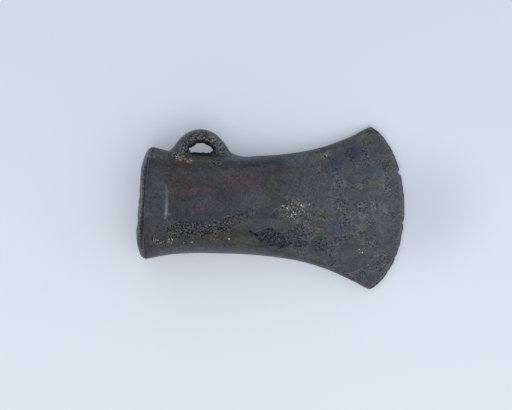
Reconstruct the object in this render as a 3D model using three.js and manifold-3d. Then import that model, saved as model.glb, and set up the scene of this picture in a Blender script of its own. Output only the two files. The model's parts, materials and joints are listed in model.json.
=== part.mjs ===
// Socketed axe head of the late Bronze Age: a bronze casting with a tapering socket for a wooden haft,
// a side loop for the lashing that holds it on, and a hammered blade that splays into two horns.
// The real one is a single pour. Its zones are drawn as solids of their own that meet face to face.
// It is drawn along its own axis, x from the mouth to the edge, y across the blade with the loop on
// the plus side, z through its depth, and then laid down on its broad face as it comes to rest.
import * as THREE from "three";
import { mergeVertices } from "three/addons/utils/BufferGeometryUtils.js";
import Module from "manifold-3d";

// Driving dimensions, in millimetres
const length = 95; // mouth to the middle of the cutting edge
const mouthWidth = 39.2; // across the blade, over the lip
const mouthDepth = 31.6; // face to face, over the lip
const waistWidth = 33.9; // narrowest part of the body
const bladeWidth = 59.2; // horn to horn

// Mouth: a rounded lip on a flared collar
const lipNose = 0.8; // radius of the lip's rounded nose
const collarLength = 3.5; // where the collar ends and the body begins
const flareLength = 21.6; // over which the mouth narrows to the waist
const flarePower = 1.9;
const mouthDip = 1.7; // how far the narrow sides of the rim stand back from the faces
const rimFlat = 10; // half width of the straight middle of the rim
const mouthSkew = THREE.MathUtils.degToRad(2.6); // the loop side of the mouth is the shorter one

// Faces: a long flat wedge with rounded bevels down to the narrow sides
const wedgeDepth = 29; // what the depth would be at the mouth without the flare
const shoulderDepth = 3.4; // where the ground edge begins
const mouthCorner = 6.6; // bevel width at the mouth
const bodyCorner = 3.6; // bevel width along the body
const hornCorner = 0.5; // bevel width at the tip of a horn
const cornerDepthShare = 0.46; // of the half depth, taken by the bevel
const cornerPower = 1.55; // 1 is a flat bevel, 2 a round corner

// Blade: sides that splay outwards, and an edge that is part of an ellipse
const splayStart = 24; // where the sides begin to curve out
const splayPower = 3;
const hornSetback = 12; // how far the horns lie behind the middle of the edge
const hornRound = 1.3;
const edgeSkew = THREE.MathUtils.degToRad(1); // the edge is worn further back on the loop side
const bulgeStart = 44; // where the sections begin to bow towards the edge
const edgeRoundShare = 0.963; // half chord of the edge over the half width of its ellipse
const edgeBevel = 6.2; // width of the ground edge
const edgeThickness = 0.7;
const edgeTipShare = 0.4; // of the edge's thickness, left at its very front

// Casting seams, where the two halves of the mould met
const seamHeight = 0.3;
const seamHalf = 0.8;
const seamFade = 4; // length over which a seam dies away

// Socket: a wedge-shaped hollow left by the core
const solidLength = 33; // from the end of the socket to the middle of the edge
const socketRoot = 4; // solid metal between the end of the socket and the blade
const mouthWall = 3.2;
const lipChamfer = 0.7; // inner edge of the lip
const floorWidth = 19;
const floorDepth = 4.8;
const socketCornerShare = 0.42; // of the hollow's half width, rounded off at its corners

// Side loop: an arch that thickens towards its feet
const loopGap = 0.3; // between the collar and the toe of the first foot
const loopSpan = 15.8; // between the middles of the feet
const loopStandout = 9.3; // from the side of the body to the top of the loop
const eyeHeight = 5.3; // clear height under the arch
const footThickness = 9.6; // along the body
const footDepth = 9; // face to face
const crownDepth = 6.2; // face to face, at the top of the loop
const footRoot = 1.8; // how far the feet run into the wall
const mouthToe = 1.8; // how far the foot nearer the mouth runs out along the body
const bladeToe = 3.4; // how far the other foot does
const toeHeight = 2.6; // over which the toes rise into the arch
const toePower = 3; // how quickly they do
const eyeFillet = 2.2; // radius of the fillets in the lower corners of the eye
const footFillet = 1.6; // radius of the fillets on the broad sides of the feet
const loopSeat = 0.5; // height above the body of the plane that parts the loop from it
const spreadPower = 3; // how quickly the arch spreads into its feet

// Old damage to the cutting edge: the deepest nick, and where each lies and how large it is
const nickDepth = 0.9;
const nickWidth = 1.8;
const nickShares = [
  { across: 0.45, size: 1 },
  { across: -0.18, size: 0.7 },
  { across: -0.62, size: 0.5 },
];

const overrun = 2; // how far every cutter runs past what it cuts

// Facets
const cornerSteps = 4;
const faceSteps = 10;
const noseSteps = 2;
const collarSteps = 4;
const bodySteps = 15;
const bladeSteps = 8;
const bevelSteps = 5;
const socketSteps = 4;
const archSteps = 48;
const archSides = 20;

const mouthHalf = mouthWidth / 2;
const lipHalf = mouthDepth / 2;
const socketDepth = length - solidLength;
const bladeStart = socketDepth + socketRoot;
const bevelStart = length - edgeBevel;
const hornAt = length - hornSetback;

// What is left at x of the flare of the mouth, as a share.
function flareShare(x) {
  return Math.pow(THREE.MathUtils.clamp(1 - x / flareLength, 0, 1), flarePower);
}

// How much of the tip of a horn is rounded off at x.
function hornRounding(x) {
  const along = THREE.MathUtils.clamp((x - hornAt + hornRound) / hornRound, 0, 1);
  return hornRound * (1 - Math.sqrt(1 - along * along));
}

// Half width of the casting where its side is at x.
function halfWidth(x) {
  const splay = Math.max(0, (x - splayStart) / (hornAt - splayStart));
  const flare = (mouthWidth - waistWidth) * flareShare(x);
  const spread = (bladeWidth - waistWidth) * Math.pow(splay, splayPower);
  return (waistWidth + flare + spread) / 2 - hornRounding(x);
}

// Half depth of the casting where its middle is at x.
function halfDepth(x) {
  const { mapLinear } = THREE.MathUtils;
  const front = length - edgeThickness / 2;
  if (x > front) {
    return (edgeThickness / 2) * mapLinear(x, front, length, 1, edgeTipShare);
  }
  if (x > bevelStart) {
    return mapLinear(x, bevelStart, front, shoulderDepth, edgeThickness) / 2;
  }
  const flare = (mouthDepth - wedgeDepth) * flareShare(x);
  return (mapLinear(x, 0, bevelStart, wedgeDepth, shoulderDepth) + flare) / 2;
}

// Bevel width beside a face at x.
function cornerWidth(x) {
  const { lerp, smoothstep } = THREE.MathUtils;
  const body = lerp(mouthCorner, bodyCorner, smoothstep(x, 0, flareLength));
  return lerp(body, hornCorner, smoothstep(x, bulgeStart, hornAt));
}

// How much of the bow of the edge a section has whose middle is at x.
function bowAt(x) {
  const bow = THREE.MathUtils.clamp((x - bulgeStart) / (length - bulgeStart), 0, 1);
  return bow * bow;
}

// How far the edge lies behind its middle, from 0 there to 1 at the horns.
function fallShare(share) {
  const fall = (s) => 1 - Math.sqrt(1 - Math.pow(Math.min(s, 1) * edgeRoundShare, 2));
  return fall(share) / fall(1);
}

// How far the rim's shape pushes the section at x along the axe, at y.
function rimShift(x, y) {
  const outward = Math.max(0, Math.abs(y) - rimFlat) / (mouthHalf - rimFlat);
  const shape = Math.tan(mouthSkew) * (y + rimFlat) + mouthDip * outward * outward;
  return shape * (1 - THREE.MathUtils.smoothstep(x, 0, flareLength));
}

// A quarter of a section: its seam, its bevel and half of its face, as [y, z] pairs.
function quarter(width, depth, corner, seam) {
  const flat = width - corner;
  const cornerDepth = depth * cornerDepthShare;
  const points = [
    [width + seam, 0],
    [width, Math.min(seamHalf, (depth - cornerDepth) / 2)],
  ];
  for (let k = 0; k <= cornerSteps; k++) {
    const turn = (k / cornerSteps) * (Math.PI / 2);
    points.push([
      flat + corner * Math.pow(Math.cos(turn), 2 / cornerPower),
      depth - cornerDepth * (1 - Math.pow(Math.sin(turn), 2 / cornerPower)),
    ]);
  }
  for (let k = 1; k <= faceSteps; k++) {
    points.push([flat * Math.cos((k / faceSteps) * (Math.PI / 2)), depth]);
  }
  return points;
}

// A whole section as [y, z] pairs, from the loop side over the upper face and back underneath.
function section(width, depth, corner, loopSeam, plainSeam) {
  const loopSide = quarter(width, depth, corner, loopSeam);
  const plainSide = quarter(width, depth, corner, plainSeam).slice(0, -1).reverse();
  const upper = [...loopSide, ...plainSide.map(([y, z]) => [-y, z])];
  const lower = upper.slice(1, -1).reverse();
  return [...upper, ...lower.map(([y, z]) => [y, -z])];
}

// The ring of the casting's skin whose middle is at x, drawn in by inset.
function skinRing(x, inset = 0) {
  const side = x - hornSetback * bowAt(x);
  const width = halfWidth(side) - inset;
  const seam = (start) => {
    const { smoothstep } = THREE.MathUtils;
    const rise = smoothstep(side, start, start + seamFade);
    return seamHeight * rise * (1 - smoothstep(side, hornAt - seamFade, hornAt));
  };
  const outline = section(
    width,
    halfDepth(x) - inset,
    cornerWidth(side),
    seam(loopAt + loopReach + bladeToe),
    seam(collarLength),
  );
  return outline.map(([y, z]) => {
    const fall = hornSetback * fallShare(Math.abs(y) / width) + Math.tan(edgeSkew) * y;
    return new THREE.Vector3(x - bowAt(x) * fall + rimShift(x, y), y, z);
  });
}

// The ring of the socket at x.
function socketRing(x) {
  const chamfer = Math.max(0, lipChamfer - x);
  const share = x / socketDepth;
  const width = THREE.MathUtils.lerp(mouthHalf - mouthWall, floorWidth / 2, share) + chamfer;
  const depth = THREE.MathUtils.lerp(lipHalf - mouthWall, floorDepth / 2, share) + chamfer;
  const outline = section(width, depth, width * socketCornerShare, 0, 0);
  return outline.map(([y, z]) => new THREE.Vector3(x + rimShift(x, y), y, z));
}

// Rings from one place to another along the axe, both ends included.
function rings(ringAt, start, end, steps) {
  const at = (k) => THREE.MathUtils.lerp(start, end, k / steps);
  return Array.from({ length: steps + 1 }, (_, k) => ringAt(at(k)));
}

// A closed body through rings of points. Each end is closed by strips from the points of its upper
// half to those below them, so an end may bow, and two bodies that share a ring meet exactly.
function loft(ringList) {
  const count = ringList[0].length;
  const index = [];
  const face = (a, b, c) => {
    if (a !== b && b !== c && c !== a) index.push(a, b, c);
  };
  for (let i = 0; i + 1 < ringList.length; i++) {
    for (let j = 0; j < count; j++) {
      const a = i * count + j;
      const b = i * count + ((j + 1) % count);
      face(a, b, a + count);
      face(b, b + count, a + count);
    }
  }
  const last = (ringList.length - 1) * count;
  for (let j = 0; j < count / 2; j++) {
    const next = j + 1;
    const underNext = count - next;
    const under = (count - j) % count;
    face(j, underNext, next);
    face(j, under, underNext);
    face(last + j, last + next, last + underNext);
    face(last + j, last + underNext, last + under);
  }
  const geometry = new THREE.BufferGeometry();
  const position = ringList.flat().flatMap((point) => point.toArray());
  geometry.setAttribute("position", new THREE.Float32BufferAttribute(position, 3));
  geometry.setIndex(index);
  return geometry;
}

const wasm = await Module();
wasm.setup();

// A closed three.js geometry as a solid that can be joined and cut.
function solid(geometry) {
  const bare = geometry.clone();
  bare.deleteAttribute("normal");
  bare.deleteAttribute("uv");
  const merged = mergeVertices(bare);
  const mesh = new wasm.Mesh({
    numProp: 3,
    vertProperties: merged.getAttribute("position").array,
    triVerts: new Uint32Array(merged.index.array),
  });
  return new wasm.Manifold(mesh);
}

// Side loop: where its middle lies, how far its feet reach along the body, and the heights of the
// body's side, of the plane that parts the loop from the body, and of the middle of its crown.
const loopReach = (loopSpan + footThickness) / 2;
const collarEnd = collarLength + rimShift(collarLength, halfWidth(collarLength));
const loopAt = collarEnd + loopGap + mouthToe + loopReach;
const loopSide = halfWidth(loopAt);
const seatHeight = halfWidth(loopAt - loopReach - mouthToe) + loopSeat;
const crownThickness = loopStandout - eyeHeight;
const crownHeight = loopSide + eyeHeight + crownThickness / 2;

// How far a fillet stands out at a height over what it lands on.
function filletAt(height, radius) {
  const down = THREE.MathUtils.clamp(1 - height / radius, 0, 1);
  return radius * (1 - Math.sqrt(1 - down * down));
}

// The arch of the loop, with the roots of its feet inside the wall of the socket. Each foot runs out
// into a toe away from the eye, and into fillets on its other sides.
function arch() {
  const root = loopSide - footRoot;
  const rise = crownHeight - root;
  const ringAt = (turn) => {
    const spread = Math.pow(1 - Math.sin(turn), spreadPower);
    const thickness = THREE.MathUtils.lerp(crownThickness, footThickness, spread);
    const depth = THREE.MathUtils.lerp(crownDepth, footDepth, spread);
    const x = loopAt - (loopSpan / 2) * Math.cos(turn);
    const y = root + rise * Math.sin(turn);
    const outward = new THREE.Vector3(-rise * Math.cos(turn), (loopSpan / 2) * Math.sin(turn), 0);
    outward.normalize();
    const toe = Math.cos(turn) > 0 ? mouthToe : bladeToe;
    return Array.from({ length: archSides }, (_, k) => {
      const angle = (k / archSides) * 2 * Math.PI;
      const point = new THREE.Vector3(x, y, (depth / 2) * Math.sin(angle));
      point.addScaledVector(outward, (thickness / 2) * Math.cos(angle));
      const height = point.y - halfWidth(point.x);
      const sunk = THREE.MathUtils.clamp(1 - height / toeHeight, 0, 1);
      const out = Math.cos(angle) > 0 ? toe * Math.pow(sunk, toePower) : filletAt(height, eyeFillet);
      point.x += Math.sign(outward.x) * out * Math.cos(angle);
      point.z += filletAt(height, footFillet) * Math.sin(angle);
      return point;
    });
  };
  return solid(loft(rings(ringAt, 0, Math.PI, archSteps)));
}

// A block round the loop that reaches from its parting plane by span, up or down.
function loopBlock(span) {
  const along = 2 * (loopReach + bladeToe) + overrun;
  const block = new THREE.BoxGeometry(along, Math.abs(span), footDepth + 2 * footFillet + overrun);
  block.translate(loopAt, seatHeight + span / 2, 0);
  return solid(block);
}

// A notch across the edge, as a lozenge set on end in the line of the edge.
function nick({ across, size }) {
  const y = across * (bladeWidth / 2 - hornRound);
  const x = length - hornSetback * fallShare(Math.abs(across)) - Math.tan(edgeSkew) * y;
  const notch = new THREE.CylinderGeometry(1, 1, shoulderDepth + overrun, 4);
  notch.rotateX(Math.PI / 2);
  notch.scale(nickDepth * size, (nickWidth / 2) * size, 1);
  notch.translate(x, y, 0);
  return solid(notch);
}

const finishes = {
  collar: { color: 0x45484c, roughness: 0.62, metalness: 0.55 },
  body: { color: 0x414347, roughness: 0.58, metalness: 0.6 },
  loop: { color: 0x46484a, roughness: 0.66, metalness: 0.5 },
  blade: { color: 0x4a5057, roughness: 0.5, metalness: 0.65 },
  edge: { color: 0x555d66, roughness: 0.44, metalness: 0.7 },
};

// A solid as a named mesh of the casting.
function zone(name, body, finish) {
  const { vertProperties, triVerts } = body.getMesh();
  const geometry = new THREE.BufferGeometry();
  geometry.setAttribute("position", new THREE.Float32BufferAttribute(vertProperties, 3));
  geometry.setIndex(new THREE.BufferAttribute(triVerts, 1));
  geometry.computeVertexNormals();
  const mesh = new THREE.Mesh(geometry, new THREE.MeshStandardMaterial(finish));
  mesh.name = name;
  return mesh;
}

const nose = Array.from({ length: noseSteps }, (_, k) => {
  const turn = (k / noseSteps) * (Math.PI / 2);
  return skinRing(lipNose * (1 - Math.cos(turn)), lipNose * (1 - Math.sin(turn)));
});
const collarSkin = [...nose, ...rings(skinRing, lipNose, collarLength, collarSteps)];
const bodySkin = rings(skinRing, collarLength, bladeStart, bodySteps);
const bladeSkin = rings(skinRing, bladeStart, bevelStart, bladeSteps);
// The rings of the bevel crowd towards the front, where the horns and the edge are rounded.
const bevelRing = (turn) => skinRing(THREE.MathUtils.lerp(bevelStart, length, Math.sin(turn)));
const bevelSkin = rings(bevelRing, 0, Math.PI / 2, bevelSteps);

// The socket runs straight from the end of the flare to its floor.
const socketMouth = [-overrun, 0, ...rings((x) => x, lipChamfer, flareLength, socketSteps)];
const socket = solid(loft([...socketMouth, socketDepth].map(socketRing)));

const loop = arch();
const feet = loop.subtract(loopBlock(crownHeight + loopStandout));
const sideLoop = loop.subtract(loopBlock(-crownHeight));
const edge = nickShares.map(nick).reduce((rest, notch) => rest.subtract(notch), solid(loft(bevelSkin)));

const axe = new THREE.Group();
axe.add(
  zone("mouth_collar", solid(loft(collarSkin)).subtract(socket), finishes.collar),
  zone("socket_body", solid(loft(bodySkin)).add(feet).subtract(socket), finishes.body),
  zone("side_loop", sideLoop, finishes.loop),
  zone("blade", solid(loft(bladeSkin)), finishes.blade),
  zone("cutting_edge", edge, finishes.edge),
);

// The axe lies on its lip and on the part of its lower face that meets the ground first.
const beyondLip = [...bodySkin, ...bladeSkin, ...bevelSkin].flat();
const slope = Math.min(...beyondLip.map((point) => (point.z + lipHalf) / (point.x - lipNose)));
axe.rotation.y = Math.atan(slope);

const group = new THREE.Group();
group.add(axe);
const bounds = new THREE.Box3().setFromObject(group, true);
const middle = bounds.getCenter(new THREE.Vector3());
axe.position.set(-middle.x, -middle.y, -bounds.min.z);

export default group;
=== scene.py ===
"""A looped socketed axe head of cast bronze, lying on its broad face on a pale table.

The casting is one pour. It is shown as its five named zones, each a closed piece of its own: the mouth
collar, the socket body, the side loop, the blade and the cutting edge. The four zones of the body are cut
from one skin, drawn from the floor of the socket up its wall, over the lip and down the outside to the
edge, so that they meet without a seam. The loop stands on that skin on two spread feet.

Sizes are in millimetres along the axe's own axes: x from the mouth to the edge, y across the blade with
the loop on the plus side, and z through its depth. Lie turns them to metres, as the axe comes to rest.
"""

import json
import logging
import math
from dataclasses import dataclass, field
from enum import Enum, IntEnum

import bmesh
import bpy
import numpy as np
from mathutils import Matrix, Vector, noise


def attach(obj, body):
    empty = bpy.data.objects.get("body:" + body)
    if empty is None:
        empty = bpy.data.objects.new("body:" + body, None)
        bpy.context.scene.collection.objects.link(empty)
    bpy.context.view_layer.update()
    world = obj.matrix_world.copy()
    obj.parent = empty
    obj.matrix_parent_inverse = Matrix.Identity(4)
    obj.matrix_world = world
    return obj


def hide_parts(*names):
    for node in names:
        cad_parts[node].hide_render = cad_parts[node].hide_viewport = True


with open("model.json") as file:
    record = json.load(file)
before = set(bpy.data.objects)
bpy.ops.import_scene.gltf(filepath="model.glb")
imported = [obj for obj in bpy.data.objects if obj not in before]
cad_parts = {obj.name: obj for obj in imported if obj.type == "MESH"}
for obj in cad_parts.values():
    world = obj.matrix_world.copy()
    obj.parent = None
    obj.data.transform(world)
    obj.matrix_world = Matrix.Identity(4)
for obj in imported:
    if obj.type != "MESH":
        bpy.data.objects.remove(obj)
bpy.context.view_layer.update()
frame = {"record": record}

LOG = logging.getLogger("axe")
MM = 0.001
WELD = 0.001
OUTER_BELOW = 0.5
Pair = tuple[float, float]
Triple = tuple[float, float, float]
Line = tuple[Pair, ...]
Arrays = tuple[np.ndarray, np.ndarray]
Mesh = bmesh.types.BMesh
Socket = bpy.types.NodeSocket


class Zone(IntEnum):
    """The zones of the casting's skin, from the mouth to the edge, and the faces that close them."""

    COLLAR = 0
    BODY = 1
    BLADE = 2
    EDGE = 3
    CLOSURE = 4


class Grain(Enum):
    """How a stain that isn't soft lies on the bronze."""

    MOTTLED = "mottled"
    SPECKLED = "speckled"
    CRISP = "crisp"


def smoothstep(value: np.ndarray | float, low: float, high: float) -> np.ndarray:
    """Rises smoothly from 0 at low to 1 at high.

    Args:
        value: Where to read the step.
        low: Where it leaves 0.
        high: Where it reaches 1.

    Returns:
        The height of the step at each value.
    """
    share = np.clip((np.asarray(value, float) - low) / (high - low), 0.0, 1.0)
    return share * share * (3.0 - 2.0 * share)


def mix(first: float, second: float, share: np.ndarray) -> np.ndarray:
    """Goes from the first value to the second as a share goes from 0 to 1."""
    return first + (second - first) * share


def turned(x: np.ndarray, y: np.ndarray, slant: float) -> Arrays:
    """Reads places along and aside of a direction that slants from x towards y."""
    cos, sin = math.cos(slant), math.sin(slant)
    return x * cos + y * sin, y * cos - x * sin


def bell(away: np.ndarray, half: float) -> np.ndarray:
    """Falls off like a bell from 1 in the middle, to about a third at a half width."""
    return np.exp(-((away / half) ** 2))


@dataclass(frozen=True)
class Span:
    """Where a smooth step leaves 0 and where it reaches 1."""

    low: float
    high: float

    def rise(self, value: np.ndarray) -> np.ndarray:
        """How far the step has risen at each value."""
        return smoothstep(value, self.low, self.high)

    def fall(self, value: np.ndarray) -> np.ndarray:
        """How far the step has yet to rise at each value."""
        return 1 - smoothstep(value, self.low, self.high)


@dataclass(frozen=True)
class Rough:
    """A rough noise: its height, the width of its largest lumps in millimetres, its seed and its layers."""

    height: float
    size: float
    seed: float
    octaves: int = 3
    falloff: float = 1.0
    fineness: float = 2.0
    shifts: Triple = (1.0, 0.37, 0.71)

    def at(self, points: np.ndarray) -> np.ndarray:
        """Reads the noise at points, one row each, in millimetres.

        Args:
            points: Places, one row each, in millimetres.

        Returns:
            The height of the noise at each point.
        """
        shift = Vector([self.seed * share for share in self.shifts])
        places = [Vector(point) + shift for point in points / self.size]
        levels = [noise.fractal(place, self.falloff, self.fineness, self.octaves) for place in places]
        return self.height * np.array(levels)


@dataclass(frozen=True)
class Patches:
    """Patches of 1 on a ground of 0: the noise that draws them and the step that cuts them out."""

    rough: Rough
    cut: Span

    def at(self, points: np.ndarray) -> np.ndarray:
        """Reads the patches at points, one row each, in millimetres."""
        return self.cut.rise(self.rough.at(points))


@dataclass(frozen=True)
class Cells:
    """Cells of a width, in millimetres, shifted by a seed."""

    size: float
    seed: float
    shifts: Triple = (1.0, 0.61, 0.29)

    def at(self, points: np.ndarray) -> np.ndarray:
        """How far each point lies from the middle of its cell, from about 0 to 1."""
        shift = Vector([self.seed * share for share in self.shifts])
        return np.array([noise.voronoi(Vector(p) + shift)[0][0] for p in points / self.size])


def line_distance(x: np.ndarray, y: np.ndarray, line: Line) -> Arrays:
    """Measures how far places lie from a line of straight stretches.

    Args:
        x: Where each place is along the axe.
        y: Where it is across the blade.
        line: The corners of the line, its ends included.

    Returns:
        The distance of each place, and how far along the line its nearest point is, from 0 to 1.
    """
    corners = np.array(line)
    lengths = np.linalg.norm(np.diff(corners, axis=0), axis=1)
    starts = np.concatenate([[0.0], np.cumsum(lengths)])
    nearest = np.full(x.shape, np.inf)
    along = np.zeros(x.shape)
    for start, end, length, before in zip(corners[:-1], corners[1:], lengths, starts):
        run, rise = end - start
        share = np.clip(((x - start[0]) * run + (y - start[1]) * rise) / length**2, 0.0, 1.0)
        gap = np.hypot(x - start[0] - share * run, y - start[1] - share * rise)
        closer = gap < nearest
        nearest = np.where(closer, gap, nearest)
        along = np.where(closer, (before + share * length) / starts[-1], along)
    return nearest, along


def depth_inside(x: np.ndarray, y: np.ndarray, outline: Line) -> np.ndarray:
    """Measures how deep places lie inside a closed outline.

    Args:
        x: Where each place is along the axe.
        y: Where it is across the blade.
        outline: The corners of the outline, in order.

    Returns:
        The distance to the outline, above 0 inside it and below 0 outside.
    """
    closed = outline + outline[:1]
    inside = np.zeros(x.shape, bool)
    for (ax, ay), (bx, by) in zip(closed[:-1], closed[1:]):
        crosses = (ay > y) != (by > y)
        rise = by - ay if by != ay else 1.0
        inside ^= crosses & (x < ax + (bx - ax) * (y - ay) / rise)
    gap, _ = line_distance(x, y, closed)
    return np.where(inside, gap, -gap)


@dataclass(frozen=True)
class Lie:
    """How the axe lies: its tilt and the place of its axis, read from the mount in the socket's floor."""

    floor: Vector
    tilt: float
    socket_depth: float

    @classmethod
    def read(cls, record: dict, socket_depth: float) -> "Lie":
        """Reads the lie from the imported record.

        Args:
            record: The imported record.
            socket_depth: From the mouth to the socket's floor, in millimetres.

        Returns:
            The lie.
        """
        mount = next(m for m in record["mounts"] if m["name"] == "haft_seat")
        tilt = math.atan2(mount["axis"][2], -mount["axis"][0])
        return cls(Vector(mount["pos_m"]), tilt, socket_depth)

    @property
    def mouth(self) -> Vector:
        """Where the middle of the mouth comes to lie, in metres."""
        run = self.socket_depth * MM
        return self.floor + Vector((-run * math.cos(self.tilt), 0.0, run * math.sin(self.tilt)))

    def turn(self, vectors: np.ndarray) -> np.ndarray:
        """Turns directions from the axe's axes to those of the row frame.

        Args:
            vectors: Directions along the axe's axes, one row each.

        Returns:
            The same in the row frame.
        """
        x, y, z = (vectors[..., k] for k in range(3))
        cos, sin = math.cos(self.tilt), math.sin(self.tilt)
        return np.stack((x * cos + z * sin, y, z * cos - x * sin), axis=-1)

    def place(self, points: np.ndarray) -> np.ndarray:
        """Turns places on the axe, in millimetres, into the row frame, in metres."""
        return self.turn(points * MM) + np.array(self.mouth)


@dataclass(frozen=True)
class CastingForm:
    """The outline of the casting and its sections, in millimetres."""

    length: float = 95.0
    mouth_width: float = 39.2
    mouth_depth: float = 31.6
    waist_width: float = 33.9
    blade_width: float = 59.2
    lip_nose: float = 0.8
    collar_length: float = 3.5
    flare_length: float = 21.6
    flare_power: float = 1.9
    mouth_dip: float = 1.7
    rim_flat: float = 10.0
    mouth_skew: float = math.radians(2.6)
    wedge_depth: float = 29.0
    shoulder_depth: float = 3.4
    mouth_corner: float = 6.6
    body_corner: float = 3.6
    horn_corner: float = 0.5
    corner_depth_share: float = 0.46
    corner_power: float = 1.55
    splay_start: float = 24.0
    splay_power: float = 3.0
    horn_setback: float = 12.0
    horn_round: float = 1.3
    edge_skew: float = math.radians(1.0)
    bulge_start: float = 44.0
    edge_round_share: float = 0.963
    edge_bevel: float = 6.2
    edge_thickness: float = 0.7
    edge_tip_share: float = 0.4
    seam_height: float = 0.3
    seam_half: float = 0.8
    seam_fade: float = 4.0
    seam_power: float = 1.5
    solid_length: float = 33.0
    socket_root: float = 4.0
    mouth_wall: float = 3.2
    lip_chamfer: float = 0.7
    lip_patina: float = 3.2
    floor_width: float = 19.0
    floor_depth: float = 4.8
    socket_corner_share: float = 0.42

    @property
    def socket_depth(self) -> float:
        """From the mouth to the floor of the socket."""
        return self.length - self.solid_length

    @property
    def blade_start(self) -> float:
        """Where the body ends and the blade begins."""
        return self.socket_depth + self.socket_root

    @property
    def bevel_start(self) -> float:
        """Where the ground edge begins."""
        return self.length - self.edge_bevel

    @property
    def horn_at(self) -> float:
        """How far along the axe the horns lie."""
        return self.length - self.horn_setback

    def flare_share(self, x: np.ndarray) -> np.ndarray:
        """What is left of the flare of the mouth at x."""
        return np.clip(1.0 - x / self.flare_length, 0.0, 1.0) ** self.flare_power

    def half_width(self, x: np.ndarray) -> np.ndarray:
        """Half width of the casting where its side is at x.

        Args:
            x: How far from the mouth, in millimetres.

        Returns:
            The half width at each x.
        """
        splay = np.maximum(0.0, (x - self.splay_start) / (self.horn_at - self.splay_start))
        flare = (self.mouth_width - self.waist_width) * self.flare_share(x)
        spread = (self.blade_width - self.waist_width) * splay**self.splay_power
        tip = np.clip((x - self.horn_at + self.horn_round) / self.horn_round, 0.0, 1.0)
        return (self.waist_width + flare + spread) / 2 - self.horn_round * (1 - np.sqrt(1 - tip * tip))

    def half_depth(self, x: np.ndarray) -> np.ndarray:
        """Half depth of the casting where its middle is at x.

        Args:
            x: How far from the mouth, in millimetres.

        Returns:
            The half depth at each x.
        """
        front = self.length - self.edge_thickness / 2
        wedge = np.interp(x, [0.0, self.bevel_start], [self.wedge_depth, self.shoulder_depth])
        wedge = wedge + (self.mouth_depth - self.wedge_depth) * self.flare_share(x)
        tip = self.edge_thickness * self.edge_tip_share
        stops = [self.bevel_start, front, self.length]
        bevel = np.interp(x, stops, [self.shoulder_depth, self.edge_thickness, tip])
        return np.where(x > self.bevel_start, bevel, wedge) / 2

    def corner_width(self, x: np.ndarray) -> np.ndarray:
        """Width of the bevel beside a face at x.

        Args:
            x: How far from the mouth, in millimetres.

        Returns:
            The bevel's width at each x.
        """
        to_body = smoothstep(x, 0.0, self.flare_length)
        body = self.mouth_corner + (self.body_corner - self.mouth_corner) * to_body
        return body + (self.horn_corner - body) * smoothstep(x, self.bulge_start, self.horn_at)

    def bow(self, x: np.ndarray) -> np.ndarray:
        """How much of the bow of the edge a section has whose middle is at x."""
        return np.clip((x - self.bulge_start) / (self.length - self.bulge_start), 0.0, 1.0) ** 2

    def fall_share(self, share: np.ndarray) -> np.ndarray:
        """How far the edge lies behind its middle, from 0 there to 1 at the horns."""
        turn = np.minimum(share, 1.0) * self.edge_round_share
        return (1 - np.sqrt(1 - turn * turn)) / (1 - math.sqrt(1 - self.edge_round_share**2))

    def front_at(self, y: np.ndarray) -> np.ndarray:
        """Where the cutting edge lies along the axe, at y."""
        across = np.abs(y) / (self.blade_width / 2 - self.horn_round)
        return self.length - self.horn_setback * self.fall_share(across) - math.tan(self.edge_skew) * y

    def rim_shift(self, x: np.ndarray, y: np.ndarray) -> np.ndarray:
        """How far the rim's shape pushes the section at x along the axe, at y.

        Args:
            x: How far from the mouth, in millimetres.
            y: Where across the section.

        Returns:
            The shift at each place.
        """
        outward = np.maximum(0.0, np.abs(y) - self.rim_flat) / (self.mouth_width / 2 - self.rim_flat)
        shape = math.tan(self.mouth_skew) * (y + self.rim_flat) + self.mouth_dip * outward * outward
        return shape * (1 - smoothstep(x, 0.0, self.flare_length))

    def socket_half_width(self, x: np.ndarray) -> np.ndarray:
        """Half width of the socket at x."""
        mouth = self.mouth_width / 2 - self.mouth_wall
        return mouth + (self.floor_width / 2 - mouth) * x / self.socket_depth

    def socket_half_depth(self, x: np.ndarray) -> np.ndarray:
        """Half depth of the socket at x."""
        mouth = self.mouth_depth / 2 - self.mouth_wall
        return mouth + (self.floor_depth / 2 - mouth) * x / self.socket_depth


@dataclass(frozen=True)
class Facets:
    """How many faces the skin has, along and around."""

    side: int = 14
    side_crowding: float = 1.4
    corner: int = 12
    face: int = 64
    floor: int = 6
    wall: int = 40
    collar_wall: int = 8
    chamfer: int = 3
    rim: int = 5
    nose: int = 6
    collar: int = 12
    body: int = 208
    blade: int = 76
    bevel: int = 30
    tip: int = 3


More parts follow.
